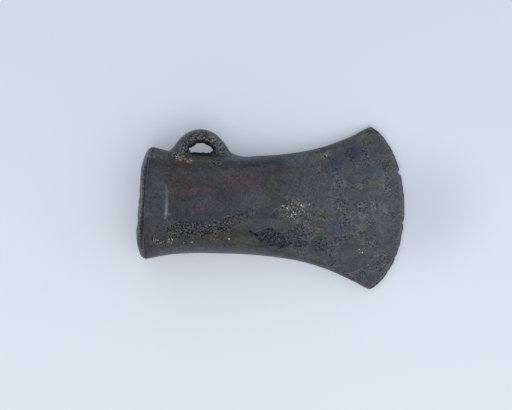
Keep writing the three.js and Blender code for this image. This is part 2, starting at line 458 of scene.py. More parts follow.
@dataclass
class Surface:
    """The points of a skin while it is aged, in millimetres, and the marks that each has."""

    points: np.ndarray
    normals: np.ndarray
    hollow: np.ndarray
    # Of these marks, the first holds dark corrosion and also painted shade, the fourth worn metal and also
    # painted sheen, and the last the washes, some of which are painted sheen or painted shade.
    marks: tuple[str, ...] = ("sunk", "pitted", "crust", "worn", "stain")
    least_stain: float = 1e-6
    top: Span = Span(0.0, 0.6)
    lift: np.ndarray = field(init=False)
    sunk: np.ndarray = field(init=False)
    pitted: np.ndarray = field(init=False)
    crust: np.ndarray = field(init=False)
    worn: np.ndarray = field(init=False)
    stain: np.ndarray = field(init=False)
    tint: np.ndarray = field(init=False)

    def __post_init__(self) -> None:
        """Starts it clean and new."""
        for mark in ("lift", *self.marks):
            setattr(self, mark, np.zeros(len(self.points)))
        self.tint = np.zeros_like(self.points)

    @classmethod
    def read(cls, bm: Mesh) -> "Surface":
        """Reads the points of a mesh, their normals and which are hollow.

        Args:
            bm: The mesh, which has the layer hollow.

        Returns:
            The surface, clean and new.
        """
        layer = bm.verts.layers.float["hollow"]
        table = np.array([(*vert.co, *vert.normal, vert[layer]) for vert in bm.verts])
        return cls(table[:, :3], table[:, 3:6], table[:, 6])

    def write(self, bm: Mesh) -> None:
        """Moves the points of the mesh along their normals and keeps the marks in its layers.

        Args:
            bm: The mesh that the points were read from.
        """
        moved = self.points + self.normals * self.lift[:, None]
        tint = bm.verts.layers.float_vector.new("tint")
        layers = bm.verts.layers.float
        marks = [(layers.new(mark), np.clip(getattr(self, mark), 0.0, 1.0)) for mark in self.marks]
        colours = self.tint / np.maximum(self.stain, self.least_stain)[:, None]
        for index, vert in enumerate(bm.verts):
            vert.co = moved[index]
            vert[tint] = colours[index]
            for layer, mark in marks:
                vert[layer] = mark[index]

    @property
    def upper(self) -> np.ndarray:
        """1 on the outside of the upper half, 0 on the lower half and in the socket."""
        return self.top.rise(self.points[:, 2]) * (1 - self.hollow)

    @property
    def outer(self) -> np.ndarray:
        """Which points lie outside the socket."""
        return self.hollow < OUTER_BELOW


@dataclass(frozen=True)
class Stroke:
    """A line on the upper face that stands up or is cut in, and what it does to the patina there."""

    line: Line
    half_width: float
    height: float
    sunk: float = 0.0
    worn: float = 0.0
    raggedness: float = 0.3


@dataclass(frozen=True)
class Crust:
    """A patch of raised, pale corrosion."""

    middle: Pair
    along: float
    across: float
    height: float
    cover: float


@dataclass(frozen=True)
class Spall:
    """A flake that broke from the upper face, and how deep and how dark it left the metal."""

    outline: Line
    depth: float
    sunk: float
    warp: float


@dataclass(frozen=True)
class Notch:
    """A notch in the cutting edge."""

    across: float
    depth: float
    width: float


@dataclass(frozen=True)
class Wear:
    """What three thousand years did to the casting's surface, in millimetres, together with painted sheen on
    the bevels and painted shade along the cutting edge's rim and in the crease beside the upper bevel.
    """

    form: CastingForm
    seed: int = 11
    thin_share: float = 0.12
    unevenness: tuple[Rough, ...] = (
        Rough(0.10, 14.0, 1.3, 2), Rough(0.055, 5.0, 5.1, 2), Rough(0.02, 1.5, 9.7),
    )
    core: tuple[Rough, ...] = (Rough(0.16, 4.0, 21.0, 2), Rough(0.07, 1.3, 27.0))
    ding_count: int = 130
    ding_radii: Pair = (0.5, 1.7)
    ding_depths: Pair = (0.02, 0.08)
    ding_stretches: Pair = (0.4, 1.0)
    ding_spread: float = 0.95
    ding_margin: float = 4.0
    ding_horn_margin: float = 2.0
    pit_line: Line = ((7.5, -8.9), (18.0, -8.8), (27.0, -8.2), (32.2, -4.8), (37.5, -2.2))
    pit_stops: tuple[float, ...] = (0.0, 0.12, 0.55, 0.75, 1.0)
    pit_half_widths: tuple[float, ...] = (1.2, 2.7, 2.6, 2.6, 2.2)
    pit_crowding: tuple[float, ...] = (0.5, 1.0, 0.95, 0.6, 0.3)
    pit_reach: float = 1.6
    pit_wander: Rough = Rough(0.7, 2.4, 33.0, 2)
    pit_band: Span = Span(0.4, 1.35)
    pit_cells: Cells = Cells(0.95, 3.0)
    pit_hole: Span = Span(0.25, 0.6)
    pit_patches: Patches = Patches(Rough(1.0, 1.9, 41.0, 2), Span(-0.35, 0.15))
    pit_bed: float = 0.25
    pit_depth: float = 0.2
    spalls: tuple[Spall, ...] = (
        Spall(((39.2, -10.0), (41.8, -8.6), (44.9, -7.6), (47.5, -8.5), (49.7, -9.8), (51.3, -11.5),
               (53.4, -12.6), (52.6, -14.6), (49.8, -14.7), (44.5, -14.0), (40.8, -12.2)), 0.3, 0.82, 0.5),
        Spall(((51.3, -11.5), (54.9, -11.5), (58.1, -11.7), (60.2, -12.6), (58.6, -14.4), (52.6, -14.6),
               (53.4, -12.6)), 0.18, 0.5, 0.9),
        Spall(((49.7, -9.8), (52.2, -7.6), (54.8, -6.3), (56.9, -5.9), (58.2, -7.2), (57.8, -9.3),
               (59.2, -11.5), (58.1, -11.7), (54.9, -11.5), (51.3, -11.5)), 0.14, 0.34, 0.5),
        Spall(((60.2, -12.0), (63.0, -11.0), (66.6, -10.4), (69.6, -13.4), (68.6, -16.8), (64.2, -17.4),
               (60.0, -15.6)), 0.06, 0.14, 1.2),
    )
    spall_reach: float = 3.0
    spall_warps: tuple[Rough, ...] = (Rough(1.0, 1.8, 51.0), Rough(1.0, 1.8, 57.0))
    spall_wall: Span = Span(0.0, 0.35)
    spall_floor: Rough = Rough(0.35, 1.1, 63.0)
    spall_pitted: Pair = (0.3, 0.8)
    spall_rim: tuple[Span, Span] = (Span(-0.45, -0.1), Span(-0.1, 0.2))
    spall_rim_worn: float = 0.35
    spall_rim_patches: Patches = Patches(Rough(1.0, 1.6, 67.0, 2), Span(-0.3, 0.4))
    strokes: tuple[Stroke, ...] = (
        # The first four strokes, with two blots of the patina, draw a pale line along the low ridge at the
        # collar's foot.
        Stroke(((7.3, 6.4), (7.7, 2.0), (7.6, -4.4)), 0.6, 0.16, worn=0.22, raggedness=0.9),
        Stroke(((7.7, 0.4), (7.6, -4.0)), 0.5, 0.06, worn=0.22, raggedness=0.9),
        Stroke(((7.6, -3.0), (7.5, -4.6)), 1.0, 0.12, worn=0.3, raggedness=1.2),
        Stroke(((7.4, -5.0), (9.2, -8.0)), 0.45, 0.06, worn=0.15, raggedness=1.0),
        Stroke(((57.8, -8.4), (59.6, -11.6), (61.8, -9.8)), 0.32, 0.05, worn=0.2, raggedness=0.6),
        Stroke(((45.0, -2.8), (47.2, -1.0), (49.2, 0.1)), 0.22, -0.04, worn=0.2),
        Stroke(((37.4, -9.0), (38.7, -9.6), (40.2, -10.3)), 0.5, -0.3, sunk=1.2, raggedness=0.7),
        # This groove's darkening is painted shade in the crease between the upper face and its upper bevel.
        Stroke(((27.0, 12.7), (37.2, 14.1), (54.6, 16.4), (68.4, 21.8)), 0.75, -0.12, sunk=0.18),
        Stroke(((15.2, 12.2), (17.0, 11.4), (19.0, 11.8)), 0.3, -0.06, sunk=0.4),
        Stroke(((30.0, 9.2), (27.2, 10.8), (26.4, 12.0)), 0.3, -0.05, worn=0.1),
        Stroke(((60.0, 3.4), (66.5, 5.0), (71.0, 4.2)), 0.22, -0.04, worn=0.08),
        Stroke(((70.4, -13.5), (76.0, -10.6)), 0.2, -0.04, worn=0.1),
        Stroke(((79.0, 9.0), (86.0, 12.6)), 0.22, -0.04, worn=0.1),
    )
    stroke_reach: Pair = (2.5, 0.4)
    stroke_rough: Rough = Rough(1.0, 1.2, 77.0, 2)
    stroke_end: float = 0.45
    stroke_tip: float = 0.02
    stroke_body: Span = Span(0.2, 1.5)
    crusts: tuple[Crust, ...] = (
        Crust((14.2, 15.2), 3.4, 0.9, 0.2, 0.9),
        Crust((11.6, 17.0), 3.4, 1.8, 0.14, 0.75),
        Crust((24.6, 15.0), 4.2, 1.2, 0.06, 0.12),
        Crust((4.2, -13.2), 2.9, 1.5, 0.08, 0.55),
        Crust((9.8, -12.4), 2.8, 1.9, 0.08, 0.45),
        Crust((25.4, -12.4), 3.4, 0.8, 0.08, 0.3),
        Crust((53.8, -1.4), 5.2, 3.6, 0.05, 0.3),
        Crust((78.6, -15.3), 1.2, 0.9, 0.06, 0.6),
        Crust((63.8, 18.2), 2.9, 0.8, 0.08, 0.45),
        Crust((83.5, 0.3), 1.6, 2.6, 0.06, 0.35),
    )
    crust_reach: float = 1.4
    crust_wander: Rough = Rough(0.35, 1.5, 83.0, 2)
    crust_patch: Span = Span(0.45, 1.05)
    crust_cells: Cells = Cells(0.8, 7.0)
    crust_core: float = 0.6
    crust_pitted: float = 0.5
    # Level of the painted sheen on the bevels. In wave_lip the same name holds the lip's wear and painted
    # highlight.
    sheen_and_rub: float = 0.27
    sheen_slope: Span = Span(0.2, 1.0)
    sheen_mouth: Span = Span(1.0, 7.0)
    sheen_mouth_least: float = 0.3
    sheen_end: Span = Span(36.0, 62.0)
    sheen_loop_side: float = 0.5
    loop_starts: Span = Span(7.0, 10.0)
    loop_stops: Span = Span(28.0, 33.0)
    lip_reach: float = 3.0
    lip_halves: Span = Span(-6.0, 6.0)
    lip_wave: Rough = Rough(0.2, 3.2, 91.0)
    lip_worn: float = 0.3
    # Where and how strongly the lower lip is brightened: worn metal and a painted highlight on its crest.
    lip_rub_and_sheen_starts: Pair = (0.2, 0.8)
    lip_rub_and_sheen_stops: Pair = (1.0, 1.7)
    lip_rub_and_sheen_levels: Pair = (0.1, 0.7)
    lip_patches: Patches = Patches(Rough(1.0, 2.0, 95.0, 2), Span(-0.9, 0.1))
    lip_near_corner: Span = Span(9.0, 14.0)
    lip_far_side: Span = Span(0.0, 9.0)
    lip_far_share: float = 0.3
    lip_corner_dulled: float = 0.7
    lip_inward: Span = Span(0.0, 5.0)
    lip_inner_worn: float = 0.3
    lip_inner_patches: Patches = Patches(Rough(1.0, 1.1, 97.0), Span(-0.5, 0.4))
    lip_inner_pitted: float = 0.8
    lip_pits: Span = Span(0.5, 1.3)
    lip_dark: float = 0.45
    lip_dark_end: Span = Span(0.3, 1.2)
    notches: tuple[Notch, ...] = (
        Notch(12.9, 0.95, 1.9), Notch(-5.1, 0.7, 1.3), Notch(-17.5, 0.45, 1.2), Notch(8.6, 0.25, 1.0),
        Notch(-22.6, 0.35, 1.6), Notch(19.8, 0.25, 1.1), Notch(1.8, 0.2, 1.4),
    )
    notch_reach: float = 2.4
    notch_fade: float = 1.5
    notch_wall: Span = Span(0.15, 1.1)
    chip: float = 0.16
    chip_share: float = 0.5
    chip_rough: Rough = Rough(1.0, 1.3, 101.0)
    chip_stretch: Triple = (0.3, 1.0, 0.0)
    # Where and how strongly shade is painted along the cutting edge's very rim.
    edge_rim: Span = Span(0.1, 0.7)
    edge_rim_shade: float = 0.5
    edge_rub: Span = Span(0.4, 2.4)
    edge_worn: float = 0.3

    def age(self, surface: Surface) -> None:
        """Ages the casting's skin all over.

        Args:
            surface: The casting's skin.
        """
        for damage in (self.roughen, self.line_socket, self.ding, self.pit, self.spall, self.scratch,
                       self.encrust, self.paint_bevel_sheen, self.wave_lip, self.chip_edge):
            damage(surface)

    def roughen(self, surface: Surface) -> None:
        """Makes the outside uneven, less so where the metal is thin.

        Args:
            surface: The casting's skin.
        """
        x, y, _ = surface.points.T
        behind = np.clip(self.form.front_at(y) - x, 0.0, self.form.edge_bevel)
        solid = mix(self.thin_share, 1.0, behind / self.form.edge_bevel)
        height = sum(rough.at(surface.points) for rough in self.unevenness)
        surface.lift += height * solid * (1 - surface.hollow)

    def line_socket(self, surface: Surface) -> None:
        """Gives the wall of the socket the rough skin that the clay core leaves.

        Args:
            surface: The casting's skin.
        """
        inner = surface.hollow > 0
        height = sum(rough.at(surface.points[inner]) for rough in self.core)
        surface.lift[inner] += height * surface.hollow[inner]

    def ding(self, surface: Surface) -> None:
        """Presses small shallow dings into both faces and both sides.

        Args:
            surface: The casting's skin.
        """
        rng = np.random.default_rng(self.seed)
        x, y, z = surface.points.T
        for _ in range(self.ding_count):
            at = rng.uniform(self.ding_margin, self.form.length - self.ding_margin)
            width = float(self.form.half_width(min(at, self.form.horn_at - self.ding_horn_margin)))
            across, side = rng.uniform(-self.ding_spread, self.ding_spread) * width, rng.choice((-1.0, 1.0))
            radius, depth = rng.uniform(*self.ding_radii), rng.uniform(*self.ding_depths)
            stretch, slant = rng.uniform(*self.ding_stretches), rng.uniform(0.0, math.pi)
            along, aside = turned(x - at, y - across, slant)
            near = (np.hypot(along, aside / stretch) < radius) & (z * side > 0) & surface.outer
            gap = np.hypot(along[near], aside[near] / stretch) / radius
            surface.lift[near] -= depth * (1 - gap * gap) ** 2

    def pit(self, surface: Surface) -> None:
        """Eats a band of pits into the upper face.

        Args:
            surface: The casting's skin.
        """
        x, y, _ = surface.points.T
        gap, along = line_distance(x, y, self.pit_line)
        half = np.interp(along, self.pit_stops, self.pit_half_widths)
        near = (gap < half * self.pit_reach + self.pit_wander.height) & (surface.upper > 0)
        points = surface.points[near]
        gap = gap[near] + self.pit_wander.at(points)
        band = self.pit_band.fall(gap / half[near]) * surface.upper[near]
        band *= np.interp(along[near], self.pit_stops, self.pit_crowding)
        hole = self.pit_hole.fall(self.pit_cells.at(points)) * self.pit_patches.at(points)
        surface.lift[near] -= self.pit_depth * band * mix(self.pit_bed, 1.0, hole)
        surface.pitted[near] += band

    def spall(self, surface: Surface) -> None:
        """Takes out the flakes that broke from the upper face.

        Args:
            surface: The casting's skin.
        """
        x, y, _ = surface.points.T
        for spall in self.spalls:
            near = (depth_inside(x, y, spall.outline) > -self.spall_reach) & (surface.upper > 0)
            points = surface.points[near]
            warp = [spall.warp * rough.at(points) for rough in self.spall_warps]
            inside = depth_inside(x[near] + warp[0], y[near] + warp[1], spall.outline)
            wall = self.spall_wall.rise(inside) * surface.upper[near]
            surface.lift[near] -= spall.depth * wall * (1 + self.spall_floor.at(points))
            surface.sunk[near] += wall * spall.sunk
            surface.pitted[near] += wall * mix(*self.spall_pitted, spall.sunk)
            rim = self.spall_rim[0].rise(inside) - self.spall_rim[1].rise(inside)
            surface.worn[near] += self.spall_rim_worn * spall.sunk * rim * self.spall_rim_patches.at(points)

    def scratch(self, surface: Surface) -> None:
        """Draws the ridges, cracks, scratches and grooves on the upper face.

        Args:
            surface: The casting's skin.
        """
        x, y, _ = surface.points.T
        for stroke in self.strokes:
            gap, along = line_distance(x, y, stroke.line)
            reach = self.stroke_reach[0] * stroke.half_width + self.stroke_reach[1]
            near = (gap < reach) & (surface.upper > 0)
            points = surface.points[near]
            ragged = stroke.raggedness * stroke.half_width * self.stroke_rough.at(points)
            bulge = np.sin(math.pi * np.clip(along[near], self.stroke_tip, 1 - self.stroke_tip))
            half = stroke.half_width * mix(self.stroke_end, 1.0, bulge)
            body = self.stroke_body.fall((gap[near] + ragged) / half) * surface.upper[near]
            surface.lift[near] += stroke.height * body
            surface.sunk[near] += stroke.sunk * body
            surface.worn[near] += stroke.worn * body

    def encrust(self, surface: Surface) -> None:
        """Raises small grains of pale corrosion.

        Args:
            surface: The casting's skin.
        """
        x, y, _ = surface.points.T
        for crust in self.crusts:
            reach = np.hypot((x - crust.middle[0]) / crust.along, (y - crust.middle[1]) / crust.across)
            near = (reach < self.crust_reach) & (surface.upper > 0)
            points = surface.points[near]
            patch = self.crust_patch.fall(reach[near] + self.crust_wander.at(points)) * surface.upper[near]
            core = Span(crust.cover * self.crust_core, crust.cover)
            surface.lift[near] += crust.height * patch * core.fall(self.crust_cells.at(points))
            surface.crust[near] += crust.cover * patch
            surface.pitted[near] += self.crust_pitted * patch

    def paint_bevel_sheen(self, surface: Surface) -> None:
        """Paints a pale sheen on the bevels beside the upper face, a painted reflection of the bright room,
        but not under the loop.

        Args:
            surface: The casting's skin.
        """
        x, y, _ = surface.points.T
        slope = self.sheen_slope.rise(np.abs(surface.normals[:, 1]))
        under_loop = self.loop_starts.rise(x) * self.loop_stops.fall(x) * (y > 0)
        along = self.sheen_end.fall(x) * (1 - under_loop) * (1 - self.sheen_loop_side * (y > 0))
        along *= mix(self.sheen_mouth_least, 1.0, self.sheen_mouth.rise(x))
        # Painted sheen, laid in the mark of worn metal.
        surface.worn += self.sheen_and_rub * slope * along * surface.upper

    def wave_lip(self, surface: Surface) -> None:
        """Makes the rim of the mouth wavy, wears its lower lip back and rubs it bright, partly as worn metal
        and partly as a painted highlight on the lip's crest, and darkens the upper lip along the rim.

        Args:
            surface: The casting's skin.
        """
        x, y, z = surface.points.T
        behind = x - self.form.rim_shift(np.zeros_like(y), y)
        near = behind < self.lip_reach
        behind, low = behind[near], self.lip_halves.fall(z[near])
        points, normals = surface.points[near], surface.normals[near]
        fade = Span(0.0, self.lip_reach).fall(behind)
        surface.points[near, 0] += (self.lip_wave.at(points) + self.lip_worn * (2 * low - 1)) * fade
        # Worn metal and a painted highlight on the lower lip's crest.
        sheen_and_rub = 1 - smoothstep(behind, mix(*self.lip_rub_and_sheen_starts, low), mix(*self.lip_rub_and_sheen_stops, low))
        corner = self.lip_near_corner.rise(-points[:, 1])
        corner += self.lip_far_share * self.lip_far_side.rise(points[:, 1])
        sheen_and_rub *= self.lip_patches.at(points) * (1 - self.lip_corner_dulled * corner)
        surface.worn[near] += sheen_and_rub * mix(*self.lip_rub_and_sheen_levels, low)
        inward = self.lip_inward.rise(-(normals[:, 1] * points[:, 1] + normals[:, 2] * points[:, 2])) * fade
        surface.worn[near] += self.lip_inner_worn * inward * low * self.lip_inner_patches.at(points)
        surface.pitted[near] += self.lip_inner_pitted * inward * self.lip_pits.rise(behind)
        surface.sunk[near] += self.lip_dark * (1 - low) * self.lip_dark_end.fall(behind)

    def chip_edge(self, surface: Surface) -> None:
        """Nicks and chips the cutting edge, rubs it a little bright and paints shade along its very rim.

        Args:
            surface: The casting's skin.
        """
        x, y, _ = surface.points.T
        behind = self.form.front_at(y) - x
        near = (behind < self.notch_reach) & (x > self.form.horn_at - self.form.edge_bevel)
        behind = behind[near]
        fade = (1 - np.clip(behind / self.notch_reach, 0.0, 1.0)) ** self.notch_fade
        ragged = self.chip_rough.at(surface.points[near] * np.array(self.chip_stretch))
        depth = self.chip * (self.chip_share + ragged).clip(0.0)
        for notch in self.notches:
            gap = np.abs(y[near] - notch.across) / (notch.width / 2)
            depth = np.maximum(depth, notch.depth * self.notch_wall.fall(gap))
        surface.points[near, 0] -= depth * fade
        # Painted shade along the very rim of the edge.
        rim = self.edge_rim.fall(behind)
        surface.worn[near] += self.edge_worn * self.edge_rub.fall(behind) * (1 - rim)
        surface.sunk[near] += self.edge_rim_shade * rim


class Skin:
    """The skin of the casting, from the floor of the socket over the lip to the cutting edge."""

    def __init__(self, form: CastingForm, facets: Facets, loop_end: float) -> None:
        """Keeps the sizes.

        Args:
            form: The casting's sizes.
            facets: How finely it is drawn.
            loop_end: Where the seam begins again beyond the loop.
        """
        self.form = form
        self.facets = facets
        self.loop_end = loop_end
        self.zones: list[Zone] = []
        self.inner: list[float] = []

    def quarter(self) -> np.ndarray:
        """Shares that place the points of a quarter of a section.

        Returns:
            A row for each point, from the seam over the bevel to the middle of the face: how much of the
            face's half width, of the bevel's width, of the side's half depth and of the bevel's depth.
        """
        power = 2 / self.form.corner_power
        side, crowding = self.facets.side, self.facets.side_crowding
        rows = [(1.0, 1.0, (k / side) ** crowding, 0.0) for k in range(side)]
        for k in range(self.facets.corner):
            turn = k / self.facets.corner * math.pi / 2
            rows.append((1.0, math.cos(turn) ** power, 1.0, math.sin(turn) ** power))
        rows += [(1 - k / self.facets.face, 0.0, 1.0, 1.0) for k in range(self.facets.face)]
        return np.array(rows + [(0.0, 0.0, 1.0, 1.0)])

    def ring(self, width: np.ndarray, depth: np.ndarray, corner: np.ndarray, seams: Arrays) -> Arrays:
        """Draws sections, one row each, from the loop's side under the lower face and back over the upper.

        Args:
            width: Half widths, as a column.
            depth: Half depths, as a column.
            corner: Widths of the bevels, as a column.
            seams: Heights of the seam on the loop's side and on the other, as columns.

        Returns:
            The y and the z of each point.
        """
        face, bevel, side, bevel_depth = self.quarter().T
        sunk = depth * self.form.corner_depth_share
        y = face * (width - corner) + bevel * corner
        z = side * (depth - sunk) + bevel_depth * sunk
        half = np.minimum(self.form.seam_half, (depth - sunk) / 2)
        ridge = np.clip(1 - z / half, 0.0, 1.0) ** self.form.seam_power
        loop_side, plain_side = (y + seam * ridge for seam in seams)
        ys = [loop_side, -plain_side[:, -2::-1], -plain_side[:, 1:], loop_side[:, -2::-1]]
        zs = [-z, -z[:, -2::-1], z[:, 1:], z[:, -2::-1]]
        return np.concatenate(ys, axis=1), np.concatenate(zs, axis=1)

    def outside(self, x: np.ndarray, inset: np.ndarray, closing: np.ndarray) -> np.ndarray:
        """Places the rings of the outer skin.

        Args:
            x: Where the middle of each ring is.
            inset: How far each is drawn in.
            closing: The share of its depth that each keeps.

        Returns:
            Points, by ring and around it.
        """
        form = self.form
        x, inset, closing = (np.asarray(v, float)[:, None] for v in (x, inset, closing))
        side = x - form.horn_setback * form.bow(x)
        width = form.half_width(side) - inset
        fade = 1 - smoothstep(side, form.horn_at - form.seam_fade, form.horn_at)
        starts = (self.loop_end, form.collar_length)
        seams = tuple(form.seam_height * smoothstep(side, s, s + form.seam_fade) * fade for s in starts)
        y, z = self.ring(width, form.half_depth(x) - inset, form.corner_width(side), seams)
        fall = form.horn_setback * form.fall_share(np.abs(y) / width) + math.tan(form.edge_skew) * y
        return np.stack([x - form.bow(x) * fall + form.rim_shift(x, y), y, z * closing], axis=-1)

    def inside(self, x: np.ndarray, closing: np.ndarray) -> np.ndarray:
        """Places the rings of the socket's wall.

        Args:
            x: Where each ring is.
            closing: The share of its depth that each keeps.

        Returns:
            Points, by ring and around it.
        """
        form = self.form
        x, closing = (np.asarray(v, float)[:, None] for v in (x, closing))
        chamfer = np.maximum(0.0, form.lip_chamfer - x)
        width = form.socket_half_width(x) + chamfer
        depth = form.socket_half_depth(x) + chamfer
        y, z = self.ring(width, depth, width * form.socket_corner_share, (0.0, 0.0))
        y *= 1 - (1 - closing) * depth / width
        return np.stack([x + form.rim_shift(x, y), y, z * closing], axis=-1)

    def table(self) -> np.ndarray:
        """Places every ring in order, and notes the zone of the faces after each and which are inside.

        Returns:
            Points, by ring and around it.
        """
        form, facets = self.form, self.facets

        def run(start: float, end: float, steps: int) -> list[float]:
            """Steps from start to end, without end."""
            return [start + (end - start) * k / steps for k in range(steps)]

        def quarter_turn(steps: int) -> list[float]:
            """Turns from 0 to a right angle, without it."""
            return [share * math.pi / 2 for share in run(0.0, 1.0, steps)]

        floor = run(0.0, 1.0, facets.floor)
        wall = run(form.socket_depth, form.collar_length, facets.wall)
        collar_wall = run(form.collar_length, form.lip_chamfer, facets.collar_wall)
        chamfer = run(form.lip_chamfer, 0.0, facets.chamfer) + [0.0]
        x = [form.socket_depth] * len(floor) + wall + collar_wall + chamfer
        hollow = self.inside(x, floor + [1.0] * (len(x) - len(floor)))
        body_rows = len(floor) + len(wall)
        self.zones = [Zone.BODY] * body_rows + [Zone.COLLAR] * (len(x) - body_rows)
        self.inner = list(smoothstep(np.array(x), form.lip_chamfer, form.lip_chamfer + form.lip_patina))

        turns = quarter_turn(facets.nose)
        nose = [form.lip_nose * (1 - math.cos(turn)) for turn in turns]
        inset = [form.lip_nose * (1 - math.sin(turn)) for turn in turns]
        collar = run(form.lip_nose, form.collar_length, facets.collar)
        body = run(form.collar_length, form.blade_start, facets.body)
        blade = run(form.blade_start, form.bevel_start, facets.blade)
        tip = form.edge_thickness * form.edge_tip_share / 2
        front = form.length - tip
        ground = front - form.bevel_start
        bevel = [form.bevel_start + ground * math.sin(turn) for turn in quarter_turn(facets.bevel)]
        tip_turns = quarter_turn(facets.tip) + [math.pi / 2]
        close = [front + tip * math.sin(turn) for turn in tip_turns]
        x = nose + collar + body + blade + bevel + close
        insets = inset + [0.0] * (len(x) - len(inset))
        closing = [1.0] * (len(x) - len(close)) + [math.cos(turn) for turn in tip_turns]
        outer = self.outside(x, insets, closing)

        shares = run(0.0, 1.0, facets.rim)[1:]
        rim = np.stack([hollow[-1] + (outer[0] - hollow[-1]) * share for share in shares])
        self.zones += [Zone.COLLAR] * (len(shares) + len(nose) + len(collar)) + [Zone.BODY] * len(body)
        self.zones += [Zone.BLADE] * len(blade) + [Zone.EDGE] * (len(bevel) + len(close))
        self.inner += [0.0] * (len(shares) + len(x))
        return np.concatenate([hollow, rim, outer])

    def mesh(self) -> Mesh:
        """Draws the whole skin as one closed mesh, in millimetres, with its zones marked on its faces.

        Returns:
            The mesh. The caller frees it.
        """
        table = self.table()
        bm = grid_of(table)
        zone = bm.faces.layers.int.new("zone")
        hollow = bm.verts.layers.float.new("hollow")
        row_of = bm.verts.layers.int["row"]
        for face in bm.faces:
            face[zone] = int(self.zones[min(vert[row_of] for vert in face.verts)])
        for vert in bm.verts:
            vert[hollow] = self.inner[vert[row_of]]
        close_up(bm)
        return bm

    def piece(self, whole: Mesh, zone: Zone) -> Mesh:
        """Cuts one zone out of the whole skin and closes its ends.

        Args:
            whole: The skin, which is left as it is.
            zone: The zone to keep.

        Returns:
            The closed piece. The caller frees it.
        """
        bm = whole.copy()
        layer = bm.faces.layers.int["zone"]
        bmesh.ops.delete(bm, geom=[face for face in bm.faces if face[layer] != zone], context="FACES")
        middle = (self.form.collar_length + self.form.blade_start) / 2
        rims = boundary_loops(bm)
        walls = [loop for loop in rims if loop[0].verts[0].co.x < middle]
        ends = [loop for loop in rims if loop[0].verts[0].co.x >= middle]
        closures = []
        if walls:
            edges = [edge for loop in walls for edge in loop]
            closures += bmesh.ops.bridge_loops(bm, edges=edges)["faces"]
        for loop in ends:
            cap = bmesh.ops.holes_fill(bm, edges=loop, sides=0)["faces"]
            cut = bmesh.ops.triangulate(bm, faces=cap, quad_method="BEAUTY", ngon_method="BEAUTY")
            closures += cut["faces"]
        for face in closures:
            face[layer] = int(Zone.CLOSURE)
            face.smooth = False
        return bm


def grid_of(table: np.ndarray) -> Mesh:
    """Lays a grid of faces over a table of places.

    Args:
        table: Places by row and along each row, in millimetres.

    Returns:
        The mesh, each point of which knows its row. The caller frees it.
    """
    rows, around = table.shape[0] - 1, table.shape[1] - 1
    bm = bmesh.new()
    row_of = bm.verts.layers.int.new("row")
    bmesh.ops.create_grid(bm, x_segments=rows, y_segments=around, size=1.0)
    for vert in bm.verts:
        row, place = round((vert.co.x + 1) / 2 * rows), round((vert.co.y + 1) / 2 * around)
        vert.co = table[row, place]
        vert[row_of] = row
    for face in bm.faces:
        face.smooth = True
    return bm


def close_up(bm: Mesh) -> None:
    """Welds a folded grid into a closed body whose faces point out.

    Args:
        bm: The grid, which is welded in place.
    """
    bmesh.ops.remove_doubles(bm, verts=bm.verts, dist=WELD)
    bmesh.ops.dissolve_degenerate(bm, dist=WELD / 2, edges=bm.edges)
    bmesh.ops.recalc_face_normals(bm, faces=bm.faces)
    bm.normal_update()


def keep_normals(bm: Mesh) -> None:
    """Keeps the normals of a whole skin, so that the pieces cut from it shade as one.

    Args:
        bm: The whole skin.
    """
    bm.normal_update()
    layer = bm.verts.layers.float_vector.new("skin_normal")
    for vert in bm.verts:
        vert[layer] = vert.normal


def boundary_loops(bm: Mesh) -> list[list[bmesh.types.BMEdge]]:
    """Sorts the open edges of a mesh into closed loops.

    The edges are taken by their index and not from a set of them, whose order changes from run to run.

    Args:
        bm: The mesh.

    Returns:
        The edges of each loop.
    """
    bm.edges.index_update()
    left = {edge.index: edge for edge in bm.edges if edge.is_boundary}
    loops = []
    while left:
        loop, front = [], [left.pop(min(left))]
        while front:
            edge = front.pop()
            loop.append(edge)
            linked = [other.index for vert in edge.verts for other in vert.link_edges if other.index in left]
            front += [left.pop(index) for index in linked]
        loops.append(loop)
    return loops


